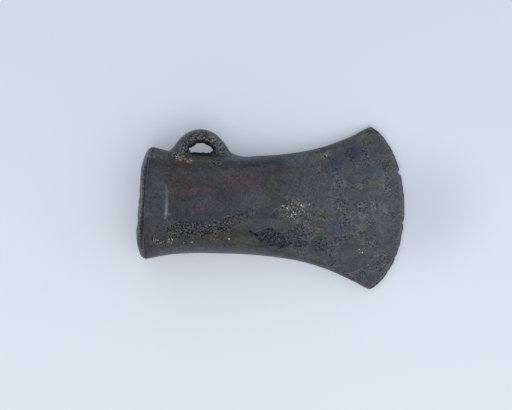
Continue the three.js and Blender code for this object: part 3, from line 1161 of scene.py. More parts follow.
@dataclass(frozen=True)
class SideLoop:
    """The loop for the lashing: an arch of which each foot runs out into a toe, in millimetres."""

    form: CastingForm
    gap: float = 0.3
    span: float = 15.8
    standout: float = 9.3
    eye_height: float = 5.3
    foot_thickness: float = 9.6
    foot_depth: float = 9.0
    crown_depth: float = 6.2
    foot_root: float = 1.8
    mouth_toe: float = 1.8
    blade_toe: float = 3.4
    toe_height: float = 2.6
    toe_power: float = 3.0
    spread_power: float = 3.0
    section_power: float = 3.0
    eye_flatness: float = 0.55
    eye_fillet: float = 2.2
    foot_fillet: float = 1.6
    wall_cover: float = 0.5
    rows: int = 240
    around: int = 80
    flash: float = 0.45
    flash_half: float = 0.6
    flash_share: float = 0.62
    flash_least: float = 0.1
    flash_rough: Rough = Rough(0.75, 1.1, 121.0)
    flash_stretch: Triple = (1.0, 1.0, 0.25)
    narrowing_heights: tuple[float, ...] = (0.0, 0.9, 1.7, 2.5, 3.4, 4.3, 5.0)
    narrowings: tuple[float, ...] = (1.1, 0.9, 0.5, 0.0, 0.0, 0.3, 0.5)
    narrowing_half: float = 3.0
    shoulder: float = 0.5
    shoulder_at: Pair = (-3.4, 4.2)
    shoulder_size: Pair = (1.3, 1.4)
    seam: float = 0.16
    seam_half: float = 0.7
    unevenness: tuple[Rough, ...] = (Rough(0.13, 4.0, 113.0, 2), Rough(0.035, 1.2, 117.0))
    eye_grit: Rough = Rough(0.09, 0.9, 125.0, 2)
    eye_margin: float = 1.0
    eye_low: float = 0.2
    eye_facing: Span = Span(0.15, 0.8)
    eye_reach: float = 1.6
    eye_floor: Span = Span(-0.3, 0.5)
    # How strongly shade is painted in the loop's eye, and how far through its depth.
    eye_shade: float = 1.1
    eye_shade_half: Span = Span(1.0, 2.1)
    back_facing: Span = Span(-0.2, 0.5)
    inner_reach: Span = Span(6.6, 8.6)
    pitting: Pair = (0.2, 0.8)
    rubbing: Pair = (0.26, 0.08)
    blade_foot: Span = Span(1.0, 4.0)
    blade_foot_worn: float = 0.1
    top_half: Span = Span(0.8, 2.2)
    foot_crust: float = 0.75
    foot_crust_at: Pair = (-6.2, 0.6)
    foot_crust_size: Pair = (3.4, 2.6)
    foot_crust_fade: Span = Span(0.4, 1.0)
    ring_radius: float = 6.4
    ring_half: float = 1.1
    ring_mark: float = 0.45
    ring_crust: Patches = Patches(Rough(1.0, 1.0, 129.0), Span(0.0, 0.4))
    ring_pits: Patches = Patches(Rough(-1.0, 0.8, 133.0), Span(0.1, 0.5))
    bank_height: float = 1.35
    bank_share: float = 0.9
    bank_least: float = 0.2
    bank_half: float = 0.78
    bank_rough: Rough = Rough(0.45, 1.3, 137.0)
    bank_stretch: Triple = (1.0, 1.0, 0.3)
    bank_margin: float = 1.2
    bank_inside: float = 1.0
    bank_reach: float = 4.0
    bank_end: float = 1.5
    # How strongly shade is painted on the bank under the eye.
    bank_shade: float = 0.5

    @property
    def reach(self) -> float:
        """From the middle of the loop to the outer side of a foot."""
        return (self.span + self.foot_thickness) / 2

    @property
    def middle(self) -> float:
        """Where the middle of the loop lies along the axe.

        Returns:
            Millimetres from the mouth.
        """
        start = self.form.collar_length
        shift = self.form.rim_shift(start, self.form.half_width(start))
        return float(start + shift + self.gap + self.mouth_toe + self.reach)

    @property
    def end(self) -> float:
        """Where the toe nearer the blade ends."""
        return self.middle + self.reach + self.blade_toe

    @property
    def side(self) -> float:
        """How far out the side of the body lies under the loop."""
        return float(self.form.half_width(self.middle))

    @property
    def eye_half_width(self) -> float:
        """Half of the eye's width."""
        return (self.span - self.foot_thickness) / 2 + self.eye_fillet

    def fillet(self, height: np.ndarray, radius: float) -> np.ndarray:
        """How far a fillet of a radius stands out at a height over the side of the body."""
        down = np.clip(1 - height / radius, 0.0, 1.0)
        return radius * (1 - np.sqrt(1 - down * down))

    def table(self) -> np.ndarray:
        """Places the rings of the arch, from the foot near the mouth to the other, its ends closed.

        Returns:
            Points, by ring and around it.
        """
        root = self.side - self.foot_root
        crown = self.side + self.eye_height + (self.standout - self.eye_height) / 2
        turn = np.linspace(0.0, math.pi, self.rows + 1)[:, None]
        angle = np.linspace(0.0, 2 * math.pi, self.around + 1)[None, :]
        spread = (1 - np.sin(turn)) ** self.spread_power
        thickness = (self.standout - self.eye_height) * (1 - spread) + self.foot_thickness * spread
        depth = self.crown_depth * (1 - spread) + self.foot_depth * spread
        x = self.middle - self.span / 2 * np.cos(turn)
        y = root + (crown - root) * np.sin(turn)
        outward = np.stack([-(crown - root) * np.cos(turn), self.span / 2 * np.sin(turn)])
        outward = outward / np.linalg.norm(outward, axis=0)
        cos, sin = (np.sign(side) * np.abs(side) ** (2 / self.section_power)
                    for side in (np.cos(angle), np.sin(angle)))
        cos = np.where(cos < 0, -np.abs(cos) ** self.eye_flatness, cos)

        point_x = x + outward[0] * thickness / 2 * cos
        point_y = y + outward[1] * thickness / 2 * cos
        height = point_y - self.form.half_width(point_x)
        toe = np.where(np.cos(turn) > 0, self.mouth_toe, self.blade_toe)
        toe = toe * np.clip(1 - height / self.toe_height, 0.0, 1.0) ** self.toe_power
        out = np.where(cos > 0, toe, self.fillet(height, self.eye_fillet))
        point_x = point_x + np.sign(outward[0]) * out * np.cos(angle)
        aside = depth / 2 + self.fillet(height, self.foot_fillet)
        covered = self.form.socket_half_width(point_x) + self.wall_cover
        table = np.stack([point_x, np.maximum(point_y, covered), aside * sin], axis=-1)
        ends = [np.broadcast_to(table[row].mean(axis=0), table[row].shape) for row in (0, -1)]
        return np.concatenate([ends[0][None], table, ends[1][None]])

    def mesh(self) -> Mesh:
        """Draws the arch as a closed mesh, in millimetres.

        Returns:
            The mesh. The caller frees it.
        """
        bm = grid_of(self.table())
        bm.verts.layers.float.new("hollow")
        close_up(bm)
        return bm

    def age(self, surface: Surface) -> None:
        """Roughens the loop, leaves flash in its eye and a seam along its back, and paints shade in its eye.

        Args:
            surface: The loop's skin.
        """
        points, normals = surface.points, surface.normals
        x, y, z = points.T
        along, out = x - self.middle, y - self.side
        rise, across = out / (self.eye_height + self.eye_margin), along / self.eye_half_width
        facing = -(normals[:, 0] * across + normals[:, 1] * np.clip(rise, 0.0, 1.0))
        eye = self.eye_facing.rise(facing / np.hypot(across, np.maximum(rise, self.eye_low)))
        eye *= (np.abs(across) < self.eye_reach) * self.eye_floor.rise(out)
        inner = self.inner_reach.fall(np.hypot(along, out))
        back = self.back_facing.rise(normals[:, 1]) * (1 - eye)
        surface.lift += sum(rough.at(points) for rough in self.unevenness)
        surface.lift += eye * (self.flashing(points) + self.narrowing(along, out, z))
        surface.lift += eye * self.eye_grit.at(points)
        surface.lift += self.seam * back * np.clip(1 - np.abs(z) / self.seam_half, 0.0, 1.0)
        # Painted shade in the eye, near black where strongest.
        surface.sunk += self.eye_shade * eye * self.eye_shade_half.fall(np.abs(z))
        surface.pitted += mix(*self.pitting, inner)
        surface.worn += mix(*self.rubbing, inner)
        surface.worn += self.blade_foot_worn * self.blade_foot.rise(along) * (1 - eye)

        top = self.top_half.rise(z)
        foot = np.hypot((along - self.foot_crust_at[0]) / self.foot_crust_size[0],
                        (out - self.foot_crust_at[1]) / self.foot_crust_size[1])
        ring = bell(np.hypot(along, out) - self.ring_radius, self.ring_half) * top
        surface.crust += self.foot_crust * top * self.foot_crust_fade.fall(foot)
        surface.crust += self.ring_mark * ring * self.ring_crust.at(points)
        surface.sunk += self.ring_mark * ring * self.ring_pits.at(points)

    def flashing(self, points: np.ndarray) -> np.ndarray:
        """How high the ragged flash stands in the eye, at points."""
        ragged = self.flash_share + self.flash_rough.at(points * np.array(self.flash_stretch))
        return self.flash * ragged.clip(self.flash_least) * bell(points[:, 2], self.flash_half)

    def narrowing(self, along: np.ndarray, out: np.ndarray, z: np.ndarray) -> np.ndarray:
        """How much the eye narrows, at places along the axe, out from its side and through its depth.

        Args:
            along: Places along the axe, from the loop's middle.
            out: The same, out from the side of the body.
            z: The same, through the axe's depth.

        Returns:
            How far the skin stands in there.
        """
        amount = np.interp(out, self.narrowing_heights, self.narrowings)
        shoulder = bell(along - self.shoulder_at[0], self.shoulder_size[0])
        shoulder *= bell(out - self.shoulder_at[1], self.shoulder_size[1])
        return (amount + self.shoulder * shoulder) * bell(z, self.narrowing_half)

    def bank(self, surface: Surface) -> None:
        """Raises the ragged bank of flash on the body's side, under the eye, and paints shade on it.

        Args:
            surface: The casting's skin.
        """
        x, y, z = surface.points.T
        along, half = np.abs(x - self.middle), self.eye_half_width + self.bank_margin
        near = (along < half) & (y > self.side - self.bank_inside) & (np.abs(z) < self.bank_reach)
        near &= surface.outer
        ragged = self.bank_share + self.bank_rough.at(surface.points[near] * np.array(self.bank_stretch))
        along = Span(half - self.bank_end, half).fall(along[near])
        height = self.bank_height * ragged.clip(self.bank_least) * bell(z[near], self.bank_half)
        surface.lift[near] += height * along
        # Painted shade on the bank under the loop's eye.
        surface.sunk[near] += self.bank_shade * along


@dataclass(frozen=True)
class Wash:
    """A soft wash in the patina, mostly a stain and in a few places painted sheen or painted shade: its
    middle and half sizes in millimetres and its colour on a screen.
    """

    middle: Pair
    half_sizes: Pair
    colour: Triple
    strength: float
    slant: float = 0.0
    height: float = 5.0


@dataclass(frozen=True)
class Blot(Wash):
    """A stain that covers the bronze in grains."""

    grain: Grain = Grain.MOTTLED


@dataclass(frozen=True)
class Screen:
    """The curve of an ordinary screen: straight up to its foot, then a power."""

    full: float = 255.0
    foot: float = 0.04045
    slope: float = 12.92
    lift: float = 0.055
    power: float = 2.4

    def linear(self, channel: float) -> float:
        """Turns one channel of a screen colour into a linear one.

        Args:
            channel: Its level, from 0 to 255.

        Returns:
            Its linear level, from 0 to 1.
        """
        share = channel / self.full
        if share <= self.foot:
            return share / self.slope
        return ((share + self.lift) / (1 + self.lift)) ** self.power


def linear(colour: Triple) -> Triple:
    """Turns a screen colour, from 0 to 255, into a linear one."""
    return tuple(Screen().linear(channel) for channel in colour)


@dataclass(frozen=True)
class Cloud:
    """Noise in a shader: the width of its largest lumps, its layers of detail and how rough they are."""

    size: float
    detail: float
    roughness: float = 0.55


class Graph:
    """A short hand for wiring the nodes of a material or a world."""

    def __init__(self, tree: bpy.types.NodeTree) -> None:
        """Empties the tree and keeps it."""
        self.tree = tree
        tree.nodes.clear()

    def node(self, kind: str, inputs: dict, **settings: object) -> bpy.types.Node:
        """Adds a node.

        Args:
            kind: The node's type, without ShaderNode at its head.
            inputs: Values or sockets for its inputs, by name or number.
            settings: Its properties.

        Returns:
            The node.
        """
        node = self.tree.nodes.new(f"ShaderNode{kind}")
        for name, value in settings.items():
            setattr(node, name, value)
        for key, value in inputs.items():
            if isinstance(value, Socket):
                self.tree.links.new(value, node.inputs[key])
            else:
                node.inputs[key].default_value = value
        return node

    def math(self, operation: str, first: object, second: object = 0.0, clamp: bool = False) -> Socket:
        """Works out one number from two."""
        return self.node("Math", {0: first, 1: second}, operation=operation, use_clamp=clamp).outputs[0]

    def times(self, first: object, second: object) -> Socket:
        """Multiplies two numbers."""
        return self.math("MULTIPLY", first, second)

    def plus(self, first: object, second: object, clamp: bool = False) -> Socket:
        """Adds two numbers."""
        return self.math("ADD", first, second, clamp)

    def minus(self, first: object, second: object, clamp: bool = False) -> Socket:
        """Takes the second number from the first."""
        return self.math("SUBTRACT", first, second, clamp)

    def vector(self, operation: str, *vectors: object) -> dict:
        """Works out a vector or its length from one to three vectors."""
        return self.node("VectorMath", dict(enumerate(vectors)), operation=operation).outputs

    def attribute(self, name: str, kind: str = "Fac") -> Socket:
        """Reads a layer of the mesh as a number, or as a colour."""
        return self.node("Attribute", {}, attribute_name=name).outputs[kind]

    def step(self, value: object, span: Span) -> Socket:
        """Rises smoothly from 0 to 1 over a span, or falls if the span's low end is above its high end."""
        inputs = {"Value": value, "From Min": span.low, "From Max": span.high}
        return self.node("MapRange", inputs, interpolation_type="SMOOTHSTEP").outputs[0]

    def noise(self, vector: object, cloud: Cloud, kind: str = "Fac") -> Socket:
        """Reads clouds as a number, or as a colour.

        Args:
            vector: Where to read it.
            cloud: The noise.
            kind: The output to read.

        Returns:
            The output.
        """
        inputs = {"Vector": vector, "Scale": 1 / cloud.size, "Detail": cloud.detail,
                  "Roughness": cloud.roughness}
        return self.node("TexNoise", inputs).outputs[kind]

    def blend(self, factor: object, first: object, second: object, way: str = "MIX") -> Socket:
        """Blends two colours.

        Args:
            factor: How much of the second colour there is.
            first: The first colour.
            second: The second colour.
            way: The way to blend them.

        Returns:
            The blend.
        """
        first, second = ((*c, 1.0) if isinstance(c, tuple) else c for c in (first, second))
        inputs = {0: factor, 6: first, 7: second}
        return self.node("Mix", inputs, data_type="RGBA", blend_type=way).outputs[2]


@dataclass(frozen=True)
class Patina:
    """Bronze under a dark, satin patina, drawn in millimetres along the axe's own axes, with painted sheen
    and painted shade in places.
    """

    form: CastingForm
    lie: Lie
    body: Triple = linear((49, 50, 53))
    brown: Triple = linear((54, 49, 48))
    slate: Triple = linear((65, 67, 71))
    pale: Triple = linear((81, 82, 81))
    # Dark blue-grey of dark corrosion, also used as painted shade.
    sunk: Triple = linear((20, 30, 42))
    # Near black of the pits, also painted as shade deep in the loop's eye.
    pit: Triple = linear((12, 11, 13))
    rim: Triple = linear((114, 116, 114))
    earth: Triple = linear((66, 53, 44))
    crust: Triple = linear((196, 190, 166))
    # Pale blue-grey of worn metal, also used for the painted sheen on the bevels and the painted highlight on
    # the lower lip.
    worn: Triple = linear((130, 139, 150))
    specular: float = 0.27
    metallic: float = 0.25
    cloud_stretch: Triple = (0.5, 1.0, 1.0)
    large_clouds: Cloud = Cloud(9.0, 2.0)
    small_clouds: Cloud = Cloud(2.4, 3.0)
    brown_clouds: Span = Span(0.42, 0.66)
    to_blade: Span = Span(38.0, 64.0)
    to_blade_ragged: float = 0.6
    slate_clouds: Span = Span(0.3, 1.25)
    paler_along: Span = Span(20.0, 80.0)
    paler: float = 0.12
    pale_clouds: Span = Span(0.46, 0.76)
    pale_strength: float = 0.6
    warps: tuple[Rough, ...] = (Rough(0.7, 2.6, 151.0, 2), Rough(0.7, 2.6, 157.0, 2))
    noise_middle: float = 0.5
    waver: Cloud = Cloud(2.6, 2.0)
    waver_reach: Triple = (2.2, 2.2, 0.0)
    stain_fade: Span = Span(0.25, 1.15)
    mottle: Cloud = Cloud(1.3, 3.0, 0.65)
    mottle_cut: Span = Span(0.36, 0.62)
    speck_size: float = 0.4
    speck_lot: Span = Span(0.7, 0.95)
    speck_edge: Span = Span(0.6, 0.3)
    worn_cover: float = 0.8
    sunk_cover: float = 0.9
    # Where the sunk mark is this strong it turns near black: painted shade in the loop's eye, and the crack.
    black_from: Span = Span(0.84, 0.98)
    crust_more: float = 0.7
    crust_lot: Span = Span(0.98, 1.25)
    crust_edge: Span = Span(0.7, 0.35)
    crust_cover: float = 0.7
    wear_clouds: Cloud = Cloud(2.2, 4.0, 0.65)
    earth_clouds: Span = Span(0.4, 0.62)
    rough_clouds: Span = Span(0.3, 0.7)
    roughness: Pair = (0.37, 0.56)
    dull_rougher: float = 0.22
    worn_smoother: float = 0.1
    grain: float = 0.33
    blade_along: Span = Span(36.0, 70.0)
    blade_grain: float = 1.15
    blade_calm: float = 0.35
    blade_patches: Cloud = Cloud(6.0, 2.0, 0.5)
    blade_cut: Span = Span(0.44, 0.6)
    pitted_grain: float = 0.8
    fine_size: float = 0.42
    fine_level: float = 0.5
    fine_power: float = 3.0
    soft_grain: Cloud = Cloud(0.7, 2.0, 0.6)
    soft_level: float = 1.5
    darkest: float = 0.1
    pit_size: float = 0.64
    pit_crowding: float = 0.95
    pit_lot: Span = Span(1.0, 1.12)
    pit_field: Span = Span(0.02, 0.3)
    pit_edge: Span = Span(0.56, 0.4)
    pit_rim: Span = Span(0.5, 0.66)
    pit_rim_bare: Span = Span(1.0, 0.86)
    pit_rim_cover: float = 0.36
    relief_grain: Cloud = Cloud(0.55, 3.0, 0.6)
    pore_size: float = 0.6
    pore_edge: Span = Span(0.05, 0.4)
    pore_depth: float = 0.35
    pit_depth: float = 1.2
    relief_strength: float = 0.4
    relief_height: float = 0.12
    fleck: Triple = (226, 224, 214)
    flecks: tuple[Triple, ...] = (
        (30.2, -11.9, 0.3), (17.0, -13.3, 0.22), (14.1, -13.5, 0.18), (49.4, 0.1, 0.28),
        (51.1, -0.7, 0.34), (56.2, 0.4, 0.34), (59.2, 0.8, 0.2), (78.2, -14.8, 0.2), (79.3, -15.9, 0.24),
        (81.6, -20.3, 0.18), (54.2, -2.8, 0.22), (52.6, -3.6, 0.24),
    )
    washes: tuple[Wash, ...] = (
        Wash((4.5, 0.0), (6.0, 17.0), (76, 77, 80), 0.35),
        Wash((38.0, 1.5), (8.0, 6.5), (80, 84, 92), 0.35),
        Wash((47.0, 12.4), (4.6, 2.8), (50, 42, 48), 0.5, 0.1),
        Wash((55.0, 8.6), (7.0, 5.0), (62, 65, 70), 0.35),
        Wash((4.6, 7.0), (3.4, 3.6), (58, 76, 80), 0.38),
        Wash((4.2, 0.4), (3.2, 4.4), (66, 63, 80), 0.4),
        Wash((3.5, -8.6), (3.0, 2.4), (72, 70, 60), 0.4),
        # A dark line of painted shade along the crease between the upper face and its upper bevel.
        Wash((44.0, 15.0), (16.0, 0.9), (42, 38, 42), 0.55, 0.14),
        Wash((37.0, -6.4), (9.0, 3.4), (78, 79, 80), 0.4),
        Wash((33.0, 9.6), (17.0, 4.4), (72, 59, 62), 0.4, 0.05),
        # The next four are painted sheen on the bevels and on the mouth's upper corner, a painted reflection
        # of the bright room, not stains.
        Wash((27.0, -18.0), (21.0, 1.8), (104, 124, 142), 0.7),
        Wash((38.0, 17.0), (14.0, 1.5), (92, 110, 126), 0.5, 0.08),
        Wash((56.0, 17.5), (9.0, 1.6), (84, 102, 118), 0.45, 0.26),
        Wash((2.6, 16.6), (2.2, 1.4), (92, 100, 108), 0.4),
        Wash((56.0, 10.0), (9.0, 6.0), (58, 62, 62), 0.45, 0.2),
        Wash((62.0, 4.6), (5.0, 5.0), (62, 64, 68), 0.4),
        Wash((65.0, -3.0), (3.6, 2.6), (84, 86, 66), 0.25),
        Wash((62.5, -13.0), (4.4, 3.4), (48, 48, 52), 0.5, 0.2),
        Wash((73.5, -12.5), (5.0, 4.0), (58, 62, 68), 0.4, 0.3),
        Wash((74.5, 16.4), (2.6, 2.0), (108, 82, 70), 0.35, 0.3),
        Wash((68.6, 12.4), (2.6, 3.0), (50, 62, 80), 0.4),
        Wash((84.4, 12.4), (2.6, 3.2), (72, 84, 104), 0.4, 0.2),
        Wash((85.4, -5.6), (2.4, 4.6), (90, 90, 108), 0.35, 0.1),
        Wash((83.0, -1.0), (1.6, 2.6), (112, 104, 86), 0.3),
        Wash((42.5, -9.2), (4.5, 1.3), (76, 90, 104), 0.3, 0.15),
        Wash((40.5, 4.6), (3.4, 3.4), (56, 64, 84), 0.3, 0.2),
        Wash((47.0, -6.2), (4.5, 2.2), (88, 95, 94), 0.35),
        Wash((79.0, -3.0), (3.0, 2.6), (96, 104, 116), 0.45, 0.2),
        Wash((83.0, -13.5), (6.0, 3.6), (66, 80, 84), 0.5, 0.2),
        Wash((76.4, -9.0), (3.0, 2.2), (88, 84, 62), 0.3, 0.2),
        Wash((64.0, -10.5), (4.0, 3.0), (52, 60, 78), 0.45, 0.5),
        Wash((80.0, 13.5), (4.0, 3.6), (62, 74, 84), 0.4, 0.3),
        Wash((86.6, 8.0), (2.4, 5.0), (98, 96, 96), 0.35, 0.1),
        Wash((72.0, 6.0), (5.0, 3.4), (66, 74, 84), 0.35, 0.3),
        Wash((79.0, 20.6), (3.4, 2.6), (86, 82, 80), 0.35, 0.2),
        Wash((76.0, -20.0), (4.0, 2.6), (66, 60, 58), 0.35, -0.4),
        Wash((21.0, -0.6), (7.5, 3.0), (80, 66, 70), 0.35, 0.06),
        Wash((29.0, 11.5), (9.0, 1.6), (66, 74, 66), 0.3, 0.1),
        Wash((17.0, 10.6), (6.0, 1.8), (58, 66, 78), 0.3, 0.1),
        Wash((18.0, 4.8), (9.5, 1.8), (86, 63, 58), 0.4, 0.06),
        Wash((20.5, 1.2), (8.0, 2.2), (58, 70, 74), 0.4, 0.04),
        Wash((28.5, -1.6), (3.6, 1.6), (78, 60, 62), 0.35, 0.1),
        Wash((22.0, -11.4), (19.0, 3.2), (62, 58, 51), 0.5),
        Wash((37.0, -12.6), (6.5, 2.2), (84, 80, 62), 0.45, 0.1),
        Wash((49.0, -12.4), (10.0, 3.0), (52, 62, 76), 0.35, -0.15),
        Wash((54.6, -9.0), (4.6, 2.8), (72, 64, 74), 0.45, 0.1),
        Wash((68.4, -6.6), (4.4, 3.6), (60, 70, 84), 0.4, -0.4),
        Wash((73.8, 19.0), (9.0, 4.6), (38, 54, 72), 0.72, 0.35),
        Wash((66.6, 15.0), (5.0, 4.2), (38, 54, 68), 0.62, 0.2),
        Wash((75.0, 12.4), (6.5, 4.2), (60, 70, 84), 0.4, 0.3),
        Wash((72.0, -6.4), (6.5, 4.4), (58, 70, 86), 0.4, -0.3),
        Wash((16.9, -3.4), (0.7, 1.4), (88, 102, 86), 0.35),
        Wash((9.4, 4.4), (2.2, 1.8), (84, 82, 70), 0.35),
    )
    blots: tuple[Blot, ...] = (
        Blot((75.0, 0.2), (5.0, 4.0), (92, 94, 92), 0.3),
        Blot((90.0, 3.0), (4.5, 18.0), (100, 97, 98), 0.35),
        Blot((4.0, -4.6), (3.4, 1.4), (86, 60, 58), 0.4),
        Blot((5.0, 15.9), (4.2, 0.9), (132, 126, 96), 0.6),
        Blot((21.0, 15.4), (9.5, 2.2), (78, 69, 55), 0.6),
        Blot((24.0, 15.0), (7.0, 2.6), (130, 122, 100), 0.5, grain=Grain.SPECKLED),
        Blot((39.0, 8.6), (5.0, 2.0), (88, 62, 62), 0.35, 0.3),
        Blot((15.6, 5.4), (4.0, 1.3), (88, 62, 56), 0.35, 0.06),
        Blot((31.0, 8.4), (6.0, 3.6), (124, 104, 74), 0.45, -0.5, grain=Grain.SPECKLED),
        Blot((27.0, 6.6), (8.0, 1.5), (106, 88, 66), 0.4, 0.05, grain=Grain.SPECKLED),
        Blot((24.0, -12.8), (17.0, 1.2), (74, 66, 50), 0.4, -0.01),
        Blot((64.4, -13.4), (7.5, 4.2), (50, 46, 50), 0.55, 0.2),
        Blot((66.0, -15.4), (7.0, 3.4), (110, 86, 70), 0.4, 0.2, grain=Grain.SPECKLED),
        Blot((61.4, -8.2), (3.0, 2.4), (96, 94, 74), 0.4, 0.1),
        Blot((53.8, -1.4), (7.5, 5.0), (92, 96, 84), 0.35, 0.1),
        Blot((53.8, -1.2), (6.2, 4.4), (214, 208, 176), 0.75, grain=Grain.SPECKLED),
        Blot((58.0, 0.4), (2.2, 0.8), (136, 118, 90), 0.5, 0.3),
        Blot((43.0, 3.0), (9.0, 5.0), (72, 80, 76), 0.3, 0.3),
        Blot((70.8, 17.6), (2.4, 1.7), (84, 66, 62), 0.5, 0.7),
        Blot((78.5, -7.2), (3.4, 2.4), (112, 104, 76), 0.5, 0.1),
        Blot((76.6, -15.6), (5.4, 3.6), (74, 62, 62), 0.45, 0.2),
        Blot((88.8, 15.0), (3.6, 6.5), (98, 95, 92), 0.4, 0.1),
        Blot((85.9, -1.6), (4.6, 5.0), (92, 94, 106), 0.4, 0.1),
        Blot((83.0, 0.8), (2.4, 3.6), (168, 168, 150), 0.6, grain=Grain.SPECKLED),
        Blot((80.5, -12.0), (5.5, 3.0), (88, 86, 68), 0.35, 0.3),
        Blot((63.8, 18.2), (4.0, 0.9), (118, 106, 82), 0.6, 0.3),
        Blot((78.5, 24.6), (3.0, 2.0), (108, 98, 74), 0.4, 0.2),
        Blot((84.0, 8.0), (6.0, 4.0), (90, 90, 74), 0.3, 0.4),
        Blot((65.0, 2.0), (24.0, 16.0), (130, 128, 112), 0.38, 0.1, grain=Grain.SPECKLED),
        Blot((87.5, -1.0), (5.5, 20.0), (146, 142, 130), 0.42, grain=Grain.SPECKLED),
        Blot((78.8, -15.6), (2.4, 1.6), (186, 168, 146), 0.6, 0.3, grain=Grain.SPECKLED),
        Blot((0.5, -3.0), (0.8, 2.8), (88, 122, 120), 0.65),
        Blot((0.6, 2.6), (0.6, 2.8), (128, 130, 136), 0.5),
        # These two draw a pale line along the low ridge at the collar's foot.
        Blot((7.5, 1.2), (0.8, 5.6), (104, 99, 106), 0.45, 0.03),
        Blot((7.6, -3.2), (0.9, 1.8), (146, 138, 140), 0.65),
        Blot((-1.0, -5.0), (2.2, 9.0), (92, 60, 44), 0.6, 0.0, 40.0),
        Blot((5.5, 1.5), (2.2, 6.0), (62, 68, 82), 0.3),
        Blot((3.9, -13.3), (3.2, 1.5), (190, 180, 140), 0.7, grain=Grain.SPECKLED),
        Blot((8.6, -12.0), (1.2, 2.4), (150, 144, 100), 0.5, 0.2),
        Blot((28.0, -0.8), (6.0, 3.6), (62, 78, 78), 0.35),
        Blot((14.2, 15.2), (3.8, 1.1), (150, 124, 98), 0.75, -0.05),
        Blot((12.0, 16.8), (3.4, 1.8), (150, 138, 106), 0.6, 0.2, grain=Grain.SPECKLED),
        Blot((88.0, -16.0), (6.0, 9.0), (84, 86, 92), 0.3),
    )

    def top_at(self, x: float) -> float:
        """How high the upper face lies over the axe's axis at x."""
        return float(self.form.half_depth(x))

    def dye(self, surface: Surface) -> None:
        """Lays the soft washes on a surface, one over the other: stains, and the painted sheen and painted
        shade among them.

        Args:
            surface: The surface, whose tint is kept times how far the washes cover the ground.
        """
        x, y, z = surface.points.T
        warps = [rough.at(surface.points) for rough in self.warps]
        for wash in self.washes:
            (at, across), halves = wash.middle, wash.half_sizes
            places = turned(x - at + warps[0], y - across + warps[1], wash.slant)
            rise = (z - self.top_at(at)) / wash.height
            away = np.sqrt((places[0] / halves[0]) ** 2 + (places[1] / halves[1]) ** 2 + rise**2)
            cover = wash.strength * self.stain_fade.fall(away)
            surface.stain = surface.stain * (1 - cover) + cover
            cover = cover[:, None]
            surface.tint = surface.tint * (1 - cover) + cover * np.array(linear(wash.colour))

    def material(self) -> bpy.types.Material:
        """Wires the material.

        Returns:
            The material.
        """
        material = bpy.data.materials.new("bronze_patina")
        material.use_nodes = True
        graph = Graph(material.node_tree)
        place = self.on_axe(graph)
        tint = graph.attribute("tint", "Color")
        # The washes: stains, with painted sheen on the bevels and painted shade in the crease beside the
        # upper bevel.
        colour = graph.blend(graph.attribute("stain"), self.grounds(graph, place), tint)
        shift = graph.vector("SUBTRACT", graph.noise(place, self.waver, "Color"), (self.noise_middle,) * 3)[0]
        warped = graph.vector("MULTIPLY_ADD", shift, self.waver_reach, place)[0]
        sizes = (self.fine_size, self.speck_size, self.pit_size)
        fine, specks, pits = (self.crystals(graph, place, size) for size in sizes)
        grains = self.grains(graph, place, specks)
        for blot in self.blots:
            colour = self.stain(graph, colour, blot, warped, grains)
        marks = {name: graph.attribute(name) for name in ("sunk", "pitted", "hollow", "crust", "worn")}
        colour, roughness = self.wear(graph, place, colour, marks, specks)
        colour, hole = self.grit(graph, place, colour, marks, fine, pits)
        for x, y, radius in self.flecks:
            fleck = Blot((x, y), (radius, radius), self.fleck, 1.0, grain=Grain.CRISP)
            colour = self.stain(graph, colour, fleck, place, grains)
        inputs = {"Base Color": colour, "Roughness": roughness, "Metallic": self.metallic,
                  "Normal": self.relief(graph, place, hole), "Specular IOR Level": self.specular}
        shader = graph.node("BsdfPrincipled", inputs)
        graph.node("OutputMaterial", {"Surface": shader.outputs[0]})
        return material

    def on_axe(self, graph: Graph) -> Socket:
        """Turns object coordinates into millimetres along the axe's own axes.

        Args:
            graph: The material's graph.

        Returns:
            Where the surface is.
        """
        inputs = {
            "Vector": graph.node("TexCoord", {}).outputs["Object"],
            "Location": self.lie.mouth,
            "Rotation": (0.0, self.lie.tilt, 0.0),
            "Scale": (MM, MM, MM),
        }
        return graph.node("Mapping", inputs, vector_type="TEXTURE").outputs[0]

    def grounds(self, graph: Graph, place: Socket) -> Socket:
        """Lays faint clouds of brown and grey, drawn out along the axe, and more grey on the blade.

        Args:
            graph: The material's graph.
            place: Where the surface is.

        Returns:
            The colour of the bare patina.
        """
        along = graph.node("SeparateXYZ", {0: place}).outputs[0]
        large = graph.noise(graph.vector("MULTIPLY", place, self.cloud_stretch)[0], self.large_clouds)
        small = graph.noise(place, self.small_clouds)
        colour = graph.blend(graph.step(large, self.brown_clouds), self.body, self.brown)
        towards = graph.plus(graph.step(along, self.to_blade), graph.times(small, self.to_blade_ragged))
        colour = graph.blend(graph.step(towards, self.slate_clouds), colour, self.slate)
        light = graph.plus(graph.times(graph.step(along, self.paler_along), self.paler), small)
        light = graph.times(graph.step(light, self.pale_clouds), graph.times(towards, self.pale_strength))
        return graph.blend(light, colour, self.pale)

    def crystals(self, graph: Graph, place: Socket, size: float) -> dict[str, Socket]:
        """Fills the surface with crystals of a size.

        Args:
            graph: The material's graph.
            place: Where the surface is.
            size: Width of a crystal, in millimetres.

        Returns:
            How far the place lies from its crystal's middle, and two numbers drawn for each crystal.
        """
        crystal = graph.node("TexVoronoi", {"Vector": place, "Scale": 1 / size})
        drawn = graph.node("SeparateColor", {0: crystal.outputs["Color"]})
        return {"away": crystal.outputs["Distance"], "level": drawn.outputs[0], "lot": drawn.outputs[1]}

    def grains(self, graph: Graph, place: Socket, crystals: dict[str, Socket]) -> dict[Grain, Socket]:
        """Draws how thickly each grain of stain covers the bronze, where it isn't everywhere.

        Args:
            graph: The material's graph.
            place: Where the surface is.
            crystals: The crystals that may be specks.

        Returns:
            How much of each there is.
        """
        mottle = graph.step(graph.noise(place, self.mottle), self.mottle_cut)
        speck = graph.step(crystals["away"], self.speck_edge)
        speck = graph.times(graph.step(crystals["lot"], self.speck_lot), speck)
        return {Grain.MOTTLED: mottle, Grain.SPECKLED: speck}

